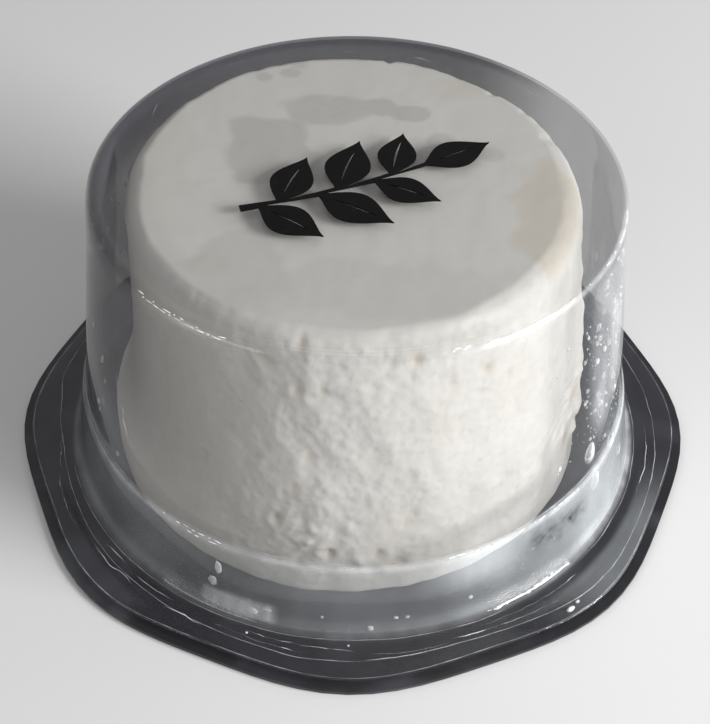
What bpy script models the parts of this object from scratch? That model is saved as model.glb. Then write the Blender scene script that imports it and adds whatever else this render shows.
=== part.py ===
"""Fresh goat cheese standing in a clear domed pack with a dark base sheet.

Sizes are in metres and +Z is up. The pack rests on its base sheet at z = 0, with the front towards -Y.
Most radii and heights are shares of FOOT_RADIUS, the radius where the dome's skirt meets its flange,
and heights of the dome and the cheese are counted from the top of that flange.
"""

import math

import bmesh
import bpy
from mathutils import Vector, noise

# Driving dimensions
FOOT_RADIUS = 0.0500
SHEET = 0.0005
GAP = 0.0003
BASE_THICKNESS = 0.0006
PRINT_THICKNESS = 0.0002

# Heights that follow from them
FLANGE_UNDER_Z = BASE_THICKNESS + GAP
FLANGE_TOP_Z = FLANGE_UNDER_Z + SHEET

# Dome, in shares of FOOT_RADIUS
RIM_HEIGHT = 1.0625
RIM_FILLET = 0.030
RIM_CENTRE_RADIUS = 0.822
DISC_RADIUS = 0.786
DISC_DROP = 0.018
WALL_FOOT = (0.930, 0.292)
SHOULDER = ((0.9335, 0.279), (0.9420, 0.270), (0.9470, 0.256))
SKIRT_FOOT = (0.982, 0.034)
FOOT_FILLET = ((0.986, 0.016), (0.994, 0.005), (1.008, 0.000))
SEAL_EDGE = (1.062, 0.000)
LIP_INNER = (1.074, 0.007)
LIP_OUTER = (1.140, 0.007)
DOME_SEGMENTS = 64

# The flange and the base sheet are rounded octagons: circles with eight low lobes
LOBES = 8
LOBE_DEPTH = 0.0165
BASE_RADIUS = 1.172
BASE_SEGMENTS = 96

# Cheese, in shares of FOOT_RADIUS, with bearings in degrees from +X
CHEESE_CENTRE = (-0.020, 0.030)
CHEESE_TOP_CLEARANCE = 0.010
CHEESE_BOTTOM_RADIUS = 0.822
CHEESE_TOP_RADIUS = 0.738
CHEESE_EDGE_DROP = 0.050
CHEESE_FOOT_ROUND = 0.018
LEFT, FRONT, BACK = 190, 270, 90
SLUMP_RADIUS = 0.722
SLUMP_FLARE = 0.100
SLUMP_HEIGHT = 0.165
FRONT_SWELL = 0.026
BACK_DRAW = 0.012
WAVE_DEPTH = 0.010
CRAG_DEPTH = 0.012
TOP_HALF_WIDTH = 0.664
TOP_HALF_LENGTH = 0.712
TOP_STEPS = ((84, 9), (52, 12))
TOP_STEP_DEPTH = 0.013
TOP_EDGE_WAVE = 0.008
TOP_DIP = 0.004
CHEESE_SEGMENTS = 80
CHEESE_SIDE_RINGS = 15
CHEESE_EDGE_RINGS = 3
CHEESE_TOP_SHARES = (0.86, 0.62, 0.36, 0.16)

# Printed sprig on the top disc, in metres
STEM_START = (-0.0180, -0.0085)
STEM_BEND = (-0.0028, -0.0042)
STEM_END = (0.0108, 0.0040)
STEM_HALF_WIDTH = 0.00042
LEAF_PLACES = (0.14, 0.45, 0.75)
LEAF_LENGTHS = (0.0122, 0.0132, 0.0112)
LEAF_SLIMNESS = 0.26
LEAF_SKEW = 0.88
LEAF_TAPER = 1.35
LEAF_SPREAD = math.radians(52)
LEAF_POINTS = 9
TIP_LEAF_LENGTH = 0.0122

CLEAR_PLASTIC = {"color": (0.80, 0.82, 0.83, 1.0), "roughness": 0.08, "alpha": 0.30}
DARK_SHEET = {"color": (0.040, 0.040, 0.045, 1.0), "roughness": 0.22, "alpha": 1.0}
WHITE_CURD = {"color": (0.78, 0.77, 0.73, 1.0), "roughness": 0.55, "alpha": 1.0}
BLACK_INK = {"color": (0.008, 0.008, 0.009, 1.0), "roughness": 0.35, "alpha": 1.0}


def clear_scene():
    """Remove every object, so that the script always starts from an empty scene."""
    for item in list(bpy.data.objects):
        bpy.data.objects.remove(item, do_unlink=True)


def make_material(name, look):
    """Return a Principled material with the given colour, roughness and alpha."""
    material = bpy.data.materials.new(name)
    material.use_nodes = True
    shader = material.node_tree.nodes["Principled BSDF"]
    shader.inputs["Base Color"].default_value = look["color"]
    shader.inputs["Roughness"].default_value = look["roughness"]
    shader.inputs["Alpha"].default_value = look["alpha"]
    shader.inputs["Metallic"].default_value = 0.0
    return material


def add_object(name, mesh_data, material, sharp_angle=math.radians(35)):
    """Turn a bmesh into an object of the scene, shaded smooth except at sharp edges."""
    bmesh.ops.recalc_face_normals(mesh_data, faces=mesh_data.faces)
    mesh = bpy.data.meshes.new(name)
    mesh_data.to_mesh(mesh)
    mesh_data.free()
    mesh.shade_smooth()
    mesh.set_sharp_from_angle(angle=sharp_angle)
    mesh.materials.append(material)
    item = bpy.data.objects.new(name, mesh)
    bpy.context.scene.collection.objects.link(item)
    return item


def smooth_step(low, high, value):
    """Return 0 below low, 1 above high and a smooth rise between them."""
    share = min(max((value - low) / (high - low), 0.0), 1.0)
    return share * share * (3.0 - 2.0 * share)


def angle_weight(angle, centre_degrees, half_width_degrees):
    """Return 1 at a bearing, falling smoothly to 0 at half_width_degrees to each side of it."""
    turn = math.degrees(angle) - centre_degrees
    turn = abs((turn + 180.0) % 360.0 - 180.0)
    return 1.0 - smooth_step(0.0, half_width_degrees, turn)


def lobe(angle):
    """Return how far the octagon's outline stands out of its mean circle at a bearing."""
    return LOBE_DEPTH * math.cos(LOBES * angle)


def bridge(mesh_data, lower, upper):
    """Join two closed rings of as many vertices by quads."""
    count = len(lower)
    for i in range(count):
        j = (i + 1) % count
        mesh_data.faces.new((lower[i], lower[j], upper[j], upper[i]))


def close_ring(mesh_data, ring, centre):
    """Close a ring by a fan of triangles round one vertex."""
    middle = mesh_data.verts.new(centre)
    for i, vertex in enumerate(ring):
        mesh_data.faces.new((vertex, ring[(i + 1) % len(ring)], middle))


def arc(centre, radius, start, stop, steps):
    """Return points on an arc from one angle to another, both in degrees, ends included."""
    points = []
    for i in range(steps + 1):
        angle = math.radians(start + (stop - start) * i / steps)
        points.append((centre[0] + radius * math.cos(angle), centre[1] + radius * math.sin(angle)))
    return points


def dome_profile():
    """Return the dome's outer profile, from the edge of the top disc down to the edge of the flange."""
    rim_centre = (RIM_CENTRE_RADIUS, RIM_HEIGHT - RIM_FILLET)
    profile = [(DISC_RADIUS, RIM_HEIGHT - DISC_DROP)]
    profile += arc(rim_centre, RIM_FILLET, 128, 6, 5)
    profile.append(WALL_FOOT)
    profile += SHOULDER
    profile.append(SKIRT_FOOT)
    profile += FOOT_FILLET
    profile += [SEAL_EDGE, LIP_INNER, LIP_OUTER]
    return profile


def offset_profile(profile, distance):
    """Return the profile moved by distance to the side of the pack's inside and underside."""
    moved = []
    last = len(profile) - 1
    for i, (radius, height) in enumerate(profile):
        before = Vector(profile[max(i - 1, 0)])
        after = Vector(profile[min(i + 1, last)])
        here = Vector((radius, height))
        directions = [d.normalized() for d in (here - before, after - here) if d.length > 0]
        normals = [Vector((d.y, -d.x)) for d in directions]
        mean = sum(normals, Vector((0.0, 0.0))).normalized()
        reach = distance / max(mean.dot(normals[0]), 0.5)
        moved.append((radius + mean.x * reach, height + mean.y * reach))
    return moved


def add_turned_ring(mesh_data, radius, height):
    """Add one ring of the dome, round on the wall and lobed towards the flange's edge."""
    share = smooth_step(SEAL_EDGE[0] - 0.03, LIP_OUTER[0], radius)
    ring = []
    for i in range(DOME_SEGMENTS):
        angle = math.tau * i / DOME_SEGMENTS
        reach = (radius + share * lobe(angle)) * FOOT_RADIUS
        position = (reach * math.cos(angle), reach * math.sin(angle), FLANGE_TOP_Z + height * FOOT_RADIUS)
        ring.append(mesh_data.verts.new(position))
    return ring


def build_dome(material):
    """Build the clear dome: a thin shell with top disc, rim, wall, shoulder, skirt and flange."""
    outer = dome_profile()
    inner = offset_profile(outer, SHEET / FOOT_RADIUS)
    mesh_data = bmesh.new()
    rings = [add_turned_ring(mesh_data, *point) for point in outer + inner[::-1]]
    for lower, upper in zip(rings, rings[1:]):
        bridge(mesh_data, lower, upper)
    disc_top = FLANGE_TOP_Z + outer[0][1] * FOOT_RADIUS
    close_ring(mesh_data, rings[0], (0.0, 0.0, disc_top))
    close_ring(mesh_data, rings[-1], (0.0, 0.0, FLANGE_TOP_Z + inner[0][1] * FOOT_RADIUS))
    return add_object("dome", mesh_data, material)


def build_base(material):
    """Build the flat base sheet that closes the dome's mouth and reaches a little past its flange."""
    mesh_data = bmesh.new()
    levels = (0.0, BASE_THICKNESS)
    rings = []
    for height in levels:
        ring = []
        for i in range(BASE_SEGMENTS):
            angle = math.tau * i / BASE_SEGMENTS
            reach = (BASE_RADIUS + lobe(angle)) * FOOT_RADIUS
            ring.append(mesh_data.verts.new((reach * math.cos(angle), reach * math.sin(angle), height)))
        rings.append(ring)
    bridge(mesh_data, rings[0], rings[1])
    mesh_data.faces.new(rings[0][::-1])
    mesh_data.faces.new(rings[1])
    return add_object("base", mesh_data, material)


def cheese_side(angle, height):
    """Return the radius of the cheese's side at a bearing and a height above the flange.

    The side tapers upwards. The left is slumped, so it flares towards its foot, the front stands out and
    the back is drawn in. Soft waves run all round, and crags roughen the front.
    """
    radius = CHEESE_BOTTOM_RADIUS + (CHEESE_TOP_RADIUS - CHEESE_BOTTOM_RADIUS) * height
    slumped = SLUMP_RADIUS + SLUMP_FLARE * math.exp(-max(height - SLUMP_HEIGHT, 0.0) / SLUMP_HEIGHT)
    radius += (slumped - radius) * angle_weight(angle, LEFT, 75)
    radius += FRONT_SWELL * angle_weight(angle, FRONT, 80) * (1.0 - 0.6 * height)
    radius -= BACK_DRAW * angle_weight(angle, BACK, 90)
    x, y = math.cos(angle), math.sin(angle)
    waves = noise.noise(Vector((x * 3.1 + 4.0, y * 3.1 + 1.0, height * 3.1 + 7.0)))
    crags = noise.noise(Vector((x * 9.0, y * 9.0, height * 6.0 + 2.0)))
    crags += 0.5 * noise.noise(Vector((x * 17.0, y * 17.0, height * 12.0)))
    rough = 0.25 + 0.75 * angle_weight(angle, FRONT, 75)
    return radius + WAVE_DEPTH * waves + CRAG_DEPTH * crags * rough


def cheese_top_edge(angle):
    """Return the radius of the flat top, longer front to back than across, with two small steps behind."""
    radius = TOP_HALF_WIDTH + (TOP_HALF_LENGTH - TOP_HALF_WIDTH) * abs(math.sin(angle))
    for bearing, half_width in TOP_STEPS:
        radius -= TOP_STEP_DEPTH * angle_weight(angle, bearing, half_width)
    wave = noise.noise(Vector((math.cos(angle) * 3.0, math.sin(angle) * 3.0, 9.0)))
    return radius + TOP_EDGE_WAVE * wave


def add_cheese_ring(mesh_data, radius_at, height_at):
    """Add one ring of the cheese, whose radius and height are functions of the bearing."""
    ring = []
    for i in range(CHEESE_SEGMENTS):
        angle = math.tau * i / CHEESE_SEGMENTS
        reach = radius_at(angle)
        x = (CHEESE_CENTRE[0] + reach * math.cos(angle)) * FOOT_RADIUS
        y = (CHEESE_CENTRE[1] + reach * math.sin(angle)) * FOOT_RADIUS
        ring.append(mesh_data.verts.new((x, y, FLANGE_TOP_Z + height_at(angle) * FOOT_RADIUS)))
    return ring


def cheese_side_rings(mesh_data, underside, side_top):
    """Add the rings from the middle of the underside up to the foot of the soft upper edge."""
    rings = []
    for share in (0.5, 1.0):
        inset = CHEESE_FOOT_ROUND * share
        rings.append(
            add_cheese_ring(mesh_data, lambda a: share * cheese_side(a, 0.0) - inset, lambda a: underside)
        )
    first = underside + CHEESE_FOOT_ROUND
    for i in range(CHEESE_SIDE_RINGS + 1):
        height = first + (side_top - first) * i / CHEESE_SIDE_RINGS
        rings.append(add_cheese_ring(mesh_data, lambda a: cheese_side(a, height), lambda a: height))
    return rings


def cheese_edge_rings(mesh_data, side_top):
    """Add the rings of the soft upper edge, a quarter of an ellipse from the side in to the flat top."""
    rings = []
    for i in range(1, CHEESE_EDGE_RINGS + 1):
        turn = 0.5 * math.pi * i / CHEESE_EDGE_RINGS
        inner = 1.0 - math.cos(turn)
        height = side_top + CHEESE_EDGE_DROP * math.sin(turn)
        rings.append(
            add_cheese_ring(
                mesh_data,
                lambda a: cheese_side(a, side_top) * (1.0 - inner) + cheese_top_edge(a) * inner,
                lambda a: height,
            )
        )
    return rings


def build_cheese(material):
    """Build the cheese: a slightly tapered round with a flat top, a soft upper edge and a craggy front."""
    underside = -SHEET / FOOT_RADIUS
    top = RIM_HEIGHT - DISC_DROP - SHEET / FOOT_RADIUS - CHEESE_TOP_CLEARANCE
    side_top = top - CHEESE_EDGE_DROP
    mesh_data = bmesh.new()
    rings = cheese_side_rings(mesh_data, underside, side_top)
    rings += cheese_edge_rings(mesh_data, side_top)
    for share in CHEESE_TOP_SHARES:
        rings.append(
            add_cheese_ring(
                mesh_data,
                lambda a: cheese_top_edge(a) * share,
                lambda a: top + TOP_DIP * (noise.noise(Vector((a * 0.9, share * 6.0, 3.0))) - 0.5),
            )
        )
    for lower, upper in zip(rings, rings[1:]):
        bridge(mesh_data, lower, upper)
    centre = (CHEESE_CENTRE[0] * FOOT_RADIUS, CHEESE_CENTRE[1] * FOOT_RADIUS)
    close_ring(mesh_data, rings[0], (*centre, FLANGE_TOP_Z + underside * FOOT_RADIUS))
    close_ring(mesh_data, rings[-1], (*centre, FLANGE_TOP_Z + (top - TOP_DIP) * FOOT_RADIUS))
    return add_object("cheese", mesh_data, material, sharp_angle=math.radians(60))


def stem_point(share):
    """Return the point and the unit direction of the sprig's stem at a share of its length."""
    start, bend, end = (Vector(p) for p in (STEM_START, STEM_BEND, STEM_END))
    point = start * (1 - share) ** 2 + bend * 2 * share * (1 - share) + end * share**2
    direction = (bend - start) * (1 - share) + (end - bend) * share
    return point, direction.normalized()


def leaf_outline(root, direction, length):
    """Return a pointed leaf's outline from one side of its root round the tip to the other side."""
    across = Vector((-direction.y, direction.x))
    points = []
    for side in (1, -1):
        steps = range(LEAF_POINTS + 1) if side == 1 else range(LEAF_POINTS - 1, -1, -1)
        for i in steps:
            along = i / LEAF_POINTS
            swell = math.sin(math.pi * along**LEAF_SKEW) ** LEAF_TAPER
            half = STEM_HALF_WIDTH * (1 - along) + LEAF_SLIMNESS * length * swell
            points.append(root + direction * (length * along) + across * (side * half))
    return points


def sprig_side(side):
    """Return the outline along one side of the stem, with its leaves, from the start to the end."""
    points = []
    for place, length in zip(LEAF_PLACES, LEAF_LENGTHS):
        shifted = place + 0.05 * side
        point, along = stem_point(shifted)
        spread = LEAF_SPREAD * side
        turned = Vector(
            (
                along.x * math.cos(spread) - along.y * math.sin(spread),
                along.x * math.sin(spread) + along.y * math.cos(spread),
            )
        )
        outline = leaf_outline(point + turned * STEM_HALF_WIDTH, turned, length)
        points += outline if side == 1 else outline[::-1]
    return points


def sprig_outline():
    """Return the whole sprig as one closed outline that runs counter-clockwise."""
    start, along = stem_point(0.0)
    across = Vector((-along.y, along.x)) * STEM_HALF_WIDTH * 1.8
    end, end_along = stem_point(1.0)
    tip = leaf_outline(end, end_along, TIP_LEAF_LENGTH)[::-1]
    right = sprig_side(-1)
    left = sprig_side(1)
    return [start - across] + right + tip + left[::-1] + [start + across]


def build_print(material):
    """Build the black sprig printed on the top disc as one thin flat film."""
    mesh_data = bmesh.new()
    bottom = FLANGE_TOP_Z + (RIM_HEIGHT - DISC_DROP) * FOOT_RADIUS + GAP
    vertices = [mesh_data.verts.new((point.x, point.y, bottom)) for point in sprig_outline()]
    face = mesh_data.faces.new(vertices)
    result = bmesh.ops.extrude_face_region(mesh_data, geom=[face])
    raised = [item for item in result["geom"] if isinstance(item, bmesh.types.BMVert)]
    bmesh.ops.translate(mesh_data, verts=raised, vec=(0.0, 0.0, PRINT_THICKNESS))
    return add_object("leaf_print", mesh_data, material)


def main():
    """Build the whole pack: base sheet, dome, cheese and the print on top."""
    clear_scene()
    build_base(make_material("dark_sheet", DARK_SHEET))
    build_dome(make_material("clear_plastic", CLEAR_PLASTIC))
    build_cheese(make_material("white_curd", WHITE_CURD))
    build_print(make_material("black_ink", BLACK_INK))


main()
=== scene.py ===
"""Looks of a fresh goat cheese that stands in a clear domed pack.

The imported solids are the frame, in metres, with +Z up and the craggy front of the cheese towards -Y.
Radii and heights of the dome and the cheese are shares of FOOT_RADIUS, and heights are counted from
the top of the flange, as in the solids. Bearings are in degrees, counted from +X towards +Y.
"""

import logging
import math
from dataclasses import dataclass
from enum import Enum
from typing import Sequence

import bpy
import numpy as np
from mathutils import Matrix, Vector, geometry, noise


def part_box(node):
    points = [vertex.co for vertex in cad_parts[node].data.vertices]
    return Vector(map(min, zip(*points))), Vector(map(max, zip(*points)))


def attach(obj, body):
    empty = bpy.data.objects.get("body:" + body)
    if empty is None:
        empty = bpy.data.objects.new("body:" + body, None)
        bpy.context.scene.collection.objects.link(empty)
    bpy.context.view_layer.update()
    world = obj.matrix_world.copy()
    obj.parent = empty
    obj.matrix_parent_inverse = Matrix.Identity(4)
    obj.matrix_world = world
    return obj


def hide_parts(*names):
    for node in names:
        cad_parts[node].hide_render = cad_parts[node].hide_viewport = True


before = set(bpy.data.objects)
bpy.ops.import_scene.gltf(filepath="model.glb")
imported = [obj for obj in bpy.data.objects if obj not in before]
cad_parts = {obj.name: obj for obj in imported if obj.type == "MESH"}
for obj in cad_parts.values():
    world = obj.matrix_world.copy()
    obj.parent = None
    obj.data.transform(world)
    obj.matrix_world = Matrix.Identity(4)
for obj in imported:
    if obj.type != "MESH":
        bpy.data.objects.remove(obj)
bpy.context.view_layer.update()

LOG = logging.getLogger("domed_cheese")

FOOT_RADIUS = 0.0500
SHEET = 0.0005
BASE_THICKNESS = 0.0006
GAP = 0.0003
FLANGE_TOP_Z = BASE_THICKNESS + GAP + SHEET
RIM_HEIGHT = 1.0625
DISC_DROP = 0.018
LOBES = 8
LOBE_DEPTH = 0.0165
LOBE_SPAN = (1.032, 1.140)
BEAD_HEIGHT = 0.0062
MILLIMETRE = 0.001
HALF_TURN = 180.0
SENSOR_WIDTH_MM = 36.0
IMAGE_WIDTH, IMAGE_HEIGHT = 710, 724
FOCAL_PIXELS = 1480.88
CLIP_RANGE = (0.01, 20.0)
FLOOR_CORNERS = ((-1.0, -1.0), (1.0, -1.0), (1.0, 1.0), (-1.0, 1.0))

Colour = tuple[float, float, float, float]
Pair = tuple[float, float]
Arc = tuple[float, float, float]
Spot = tuple[float, float, float, float, float]


class Slot(Enum):
    """Names of the record's material slots."""

    CURD = "curd"
    CLEAR_PLASTIC = "clear_plastic"
    BLACK_INK = "black_ink"


class Patch(Enum):
    """Names of the soft masks that a mesh carries as attributes for its material."""

    WET_AND_SHADE = "wet_and_shade"
    CREAM_AND_SHADE = "cream_and_shade"
    PIT = "pit"
    HAZE_AND_LIGHT = "haze_and_light"
    MIST = "mist_and_light"
    SMOKE = "smoke_and_shade"
    CREASE = "crease_glint"
    WHEY = "whey"


def smooth_step(low: float, high: float, value: float | np.ndarray) -> float | np.ndarray:
    """Ease from 0 to 1 between two values.

    Args:
        low: Value where the rise starts.
        high: Value where the rise ends.
        value: Number or array to ease.

    Returns:
        The eased number or array, from 0 to 1.
    """
    share = np.clip((value - low) / (high - low), 0.0, 1.0)
    return share * share * (3.0 - 2.0 * share)


def fall(low: float, high: float, value: float | np.ndarray) -> float | np.ndarray:
    """Ease from 1 to 0 between two values."""
    return 1.0 - smooth_step(low, high, value)


def turn_from(centre: float, angle: float | np.ndarray) -> float | np.ndarray:
    """Return how far a bearing in radians lies from one in degrees, from -180 to 180 degrees."""
    return (np.degrees(angle) - centre + HALF_TURN) % (2.0 * HALF_TURN) - HALF_TURN


def angle_weight(angle: float | np.ndarray, centre: float, half_width: float) -> float | np.ndarray:
    """Weigh a bearing by how near it is to a given one.

    Args:
        angle: Bearing in radians.
        centre: Bearing of full weight, in degrees.
        half_width: Degrees to each side over which the weight falls to 0.

    Returns:
        The weight, from 0 to 1.
    """
    return fall(0.0, half_width, np.abs(turn_from(centre, angle)))


def window(angle: np.ndarray, start: float, stop: float, ease: float) -> np.ndarray:
    """Mark the bearings between two others.

    Args:
        angle: Bearings in radians.
        start: First bearing in degrees.
        stop: Last bearing in degrees, above the first one.
        ease: Degrees over which the mask rises inside each end.

    Returns:
        A mask from 0 to 1.
    """
    middle, half = (start + stop) / 2.0, (stop - start) / 2.0
    return fall(half - ease, half, np.abs(turn_from(middle, angle)))


def band(value: np.ndarray, centre: float, half_width: float) -> np.ndarray:
    """Mark the values near a centre with a soft-edged mask."""
    return fall(0.0, half_width, np.abs(value - centre))


def bearings(count: int) -> np.ndarray:
    """Return evenly spaced bearings round the pack, in radians."""
    return np.linspace(0.0, math.tau, count, endpoint=False)


def lobe(radius: float | np.ndarray, turn: float | np.ndarray) -> float | np.ndarray:
    """Return how far the flange's lobes move a radius at a bearing, in shares of the foot radius."""
    return smooth_step(*LOBE_SPAN, radius) * LOBE_DEPTH * np.cos(LOBES * turn)


def at(bearing: float, radius: float, height: float) -> Vector:
    """Return the place in metres at a bearing in radians, for a radius and height in foot radii."""
    reach = radius * FOOT_RADIUS
    return Vector((reach * math.cos(bearing), reach * math.sin(bearing), FLANGE_TOP_Z + height * FOOT_RADIUS))


def ways_at(bearing: float) -> tuple[Vector, Vector]:
    """Return the unit ways outwards and round the pack at a bearing in radians."""
    out = Vector((math.cos(bearing), math.sin(bearing), 0.0))
    return out, Vector((-out.y, out.x, 0.0))


def around_axis(angle: np.ndarray, height: np.ndarray, radius: float = 1.0) -> np.ndarray:
    """Return points on an upright cylinder, over which noise runs round without a seam."""
    return np.stack((np.cos(angle) * radius, np.sin(angle) * radius, height), axis=-1)


def noise_field(points: np.ndarray, scale: float | Sequence[float], shift: float = 0.0) -> np.ndarray:
    """Sample smooth noise at many points.

    Args:
        points: Array whose last axis holds x, y and z.
        scale: Frequency, one for all axes or one for each.
        shift: Offset that picks another pattern.

    Returns:
        Noise from about -1 to 1, in the points' own layout.
    """
    flat = points.reshape(-1, 3) * np.array(scale) + shift
    values = np.fromiter((noise.noise(Vector(p)) for p in flat), float, len(flat))
    return values.reshape(points.shape[:-1])


def ring_mesh(name: str, rings: np.ndarray, first: Sequence[float], last: Sequence[float]) -> bpy.types.Mesh:
    """Join closed rings into one skin and close both ends by fans.

    Args:
        name: Name of the mesh.
        rings: Array of ring, place on the ring and coordinate. Rings run counter-clockwise.
        first: Point that closes the first ring.
        last: Point that closes the last ring.

    Returns:
        The closed mesh, shaded smooth, with faces that point outwards.
    """
    count, around = rings.shape[:2]
    index = np.arange(count * around).reshape(count, around)
    after = np.roll(index, -1, axis=1)
    quads = np.stack((index[:-1], after[:-1], after[1:], index[1:]), axis=-1).reshape(-1, 4)
    foot, top = count * around, count * around + 1
    fans = [(int(b), int(a), foot) for a, b in zip(index[0], after[0])]
    fans += [(int(a), int(b), top) for a, b in zip(index[-1], after[-1])]
    points = np.vstack((rings.reshape(-1, 3), first, last))
    mesh = bpy.data.meshes.new(name)
    mesh.from_pydata(points.tolist(), [], quads.tolist() + fans)
    mesh.shade_smooth()
    return mesh


def unit_ball(around: int, levels: int) -> tuple[list[Vector], list[tuple[int, ...]]]:
    """Lay out a closed ball.

    Args:
        around: Points on each ring.
        levels: Steps from pole to pole along the third axis.

    Returns:
        Unit directions, and faces that point outwards once the axes are set out left-handed.
    """
    ways, rows = [], []
    for k in range(levels + 1):
        tilt = math.pi * k / levels
        count = around if 0 < k < levels else 1
        rows.append([len(ways) + i % count for i in range(around)])
        for i in range(count):
            spin = math.tau * i / around
            ways.append(Vector((math.sin(tilt) * math.cos(spin), math.sin(tilt) * math.sin(spin), math.cos(tilt))))
    faces = []
    for upper, lower in zip(rows, rows[1:]):
        for i in range(around):
            j = (i + 1) % around
            faces.append(tuple(dict.fromkeys((upper[i], upper[j], lower[j], lower[i]))))
    return ways, faces


def smooth_mesh(name: str, points: Sequence[Vector], faces: Sequence[tuple[int, ...]]) -> bpy.types.Mesh:
    """Return a smoothly shaded mesh of points and faces."""
    mesh = bpy.data.meshes.new(name)
    mesh.from_pydata([tuple(p) for p in points], [], faces)
    mesh.shade_smooth()
    return mesh


def add_mask(mesh: bpy.types.Mesh, patch: Patch, values: np.ndarray) -> None:
    """Store a soft mask on a ring mesh, with 0 at its two closing points.

    Args:
        mesh: Mesh made by ring_mesh.
        patch: Name of the mask.
        values: One number for each ring point.
    """
    layer = mesh.attributes.new(patch.value, "FLOAT", "POINT")
    layer.data.foreach_set("value", np.append(values.ravel(), (0.0, 0.0)).astype(np.float32))


def link(item: bpy.types.Object) -> bpy.types.Object:
    """Put an object into the scene."""
    bpy.context.scene.collection.objects.link(item)
    return item


def add_piece(name: str, mesh: bpy.types.Mesh, material: bpy.types.Material) -> bpy.types.Object:
    """Put a mesh into the scene as an object at the origin, with one material."""
    mesh.materials.clear()
    mesh.materials.append(material)
    return link(bpy.data.objects.new(name, mesh))


def settle(piece: bpy.types.Object, slot: Slot, *nodes: str) -> bpy.types.Object:
    """Let a finished piece ride on the pack and stand for its solids.

    Args:
        piece: The finished piece.
        slot: Material slot that it takes its finish from; not used.
        nodes: Solids that it replaces.

    Returns:
        The piece.
    """
    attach(piece, "root")
    if nodes:
        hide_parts(*nodes)
    LOG.info("%s: %d faces", piece.name, len(piece.data.polygons))
    return piece


class Wire:
    """A socket of a shader graph that takes part in Python sums."""

    def __init__(self, graph: "ShaderGraph", socket: bpy.types.NodeSocket) -> None:
        """Wrap an output socket of the graph."""
        self.graph = graph
        self.socket = socket

    def _sum(self, operation: str, first: "Wire | float", second: "Wire | float") -> "Wire":
        """Add a Math node on two values."""
        return self.graph.node("ShaderNodeMath", {"operation": operation}, {0: first, 1: second})

    def __add__(self, other: "Wire | float") -> "Wire":
        """Add."""
        return self._sum("ADD", self, other)

    __radd__ = __add__

    def __sub__(self, other: "Wire | float") -> "Wire":
        """Take away."""
        return self._sum("SUBTRACT", self, other)

    def __rsub__(self, other: "Wire | float") -> "Wire":
        """Take this value away from a number."""
        return self._sum("SUBTRACT", other, self)

    def __mul__(self, other: "Wire | float") -> "Wire":
        """Multiply."""
        return self._sum("MULTIPLY", self, other)

    __rmul__ = __mul__

    def __pow__(self, other: float) -> "Wire":
        """Raise to a power."""
        return self._sum("POWER", self, other)

    def most(self, other: "Wire | float") -> "Wire":
        """Return the larger of two values."""
        return self._sum("MAXIMUM", self, other)

    def least(self, other: "Wire | float") -> "Wire":
        """Return the smaller of two values."""
        return self._sum("MINIMUM", self, other)

    def rise(self, low: float, high: float) -> "Wire":
        """Ease from 0 to 1 between two values."""
        settings = {"interpolation_type": "SMOOTHSTEP"}
        return self.graph.node("ShaderNodeMapRange", settings, {"Value": self, "From Min": low, "From Max": high})


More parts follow.
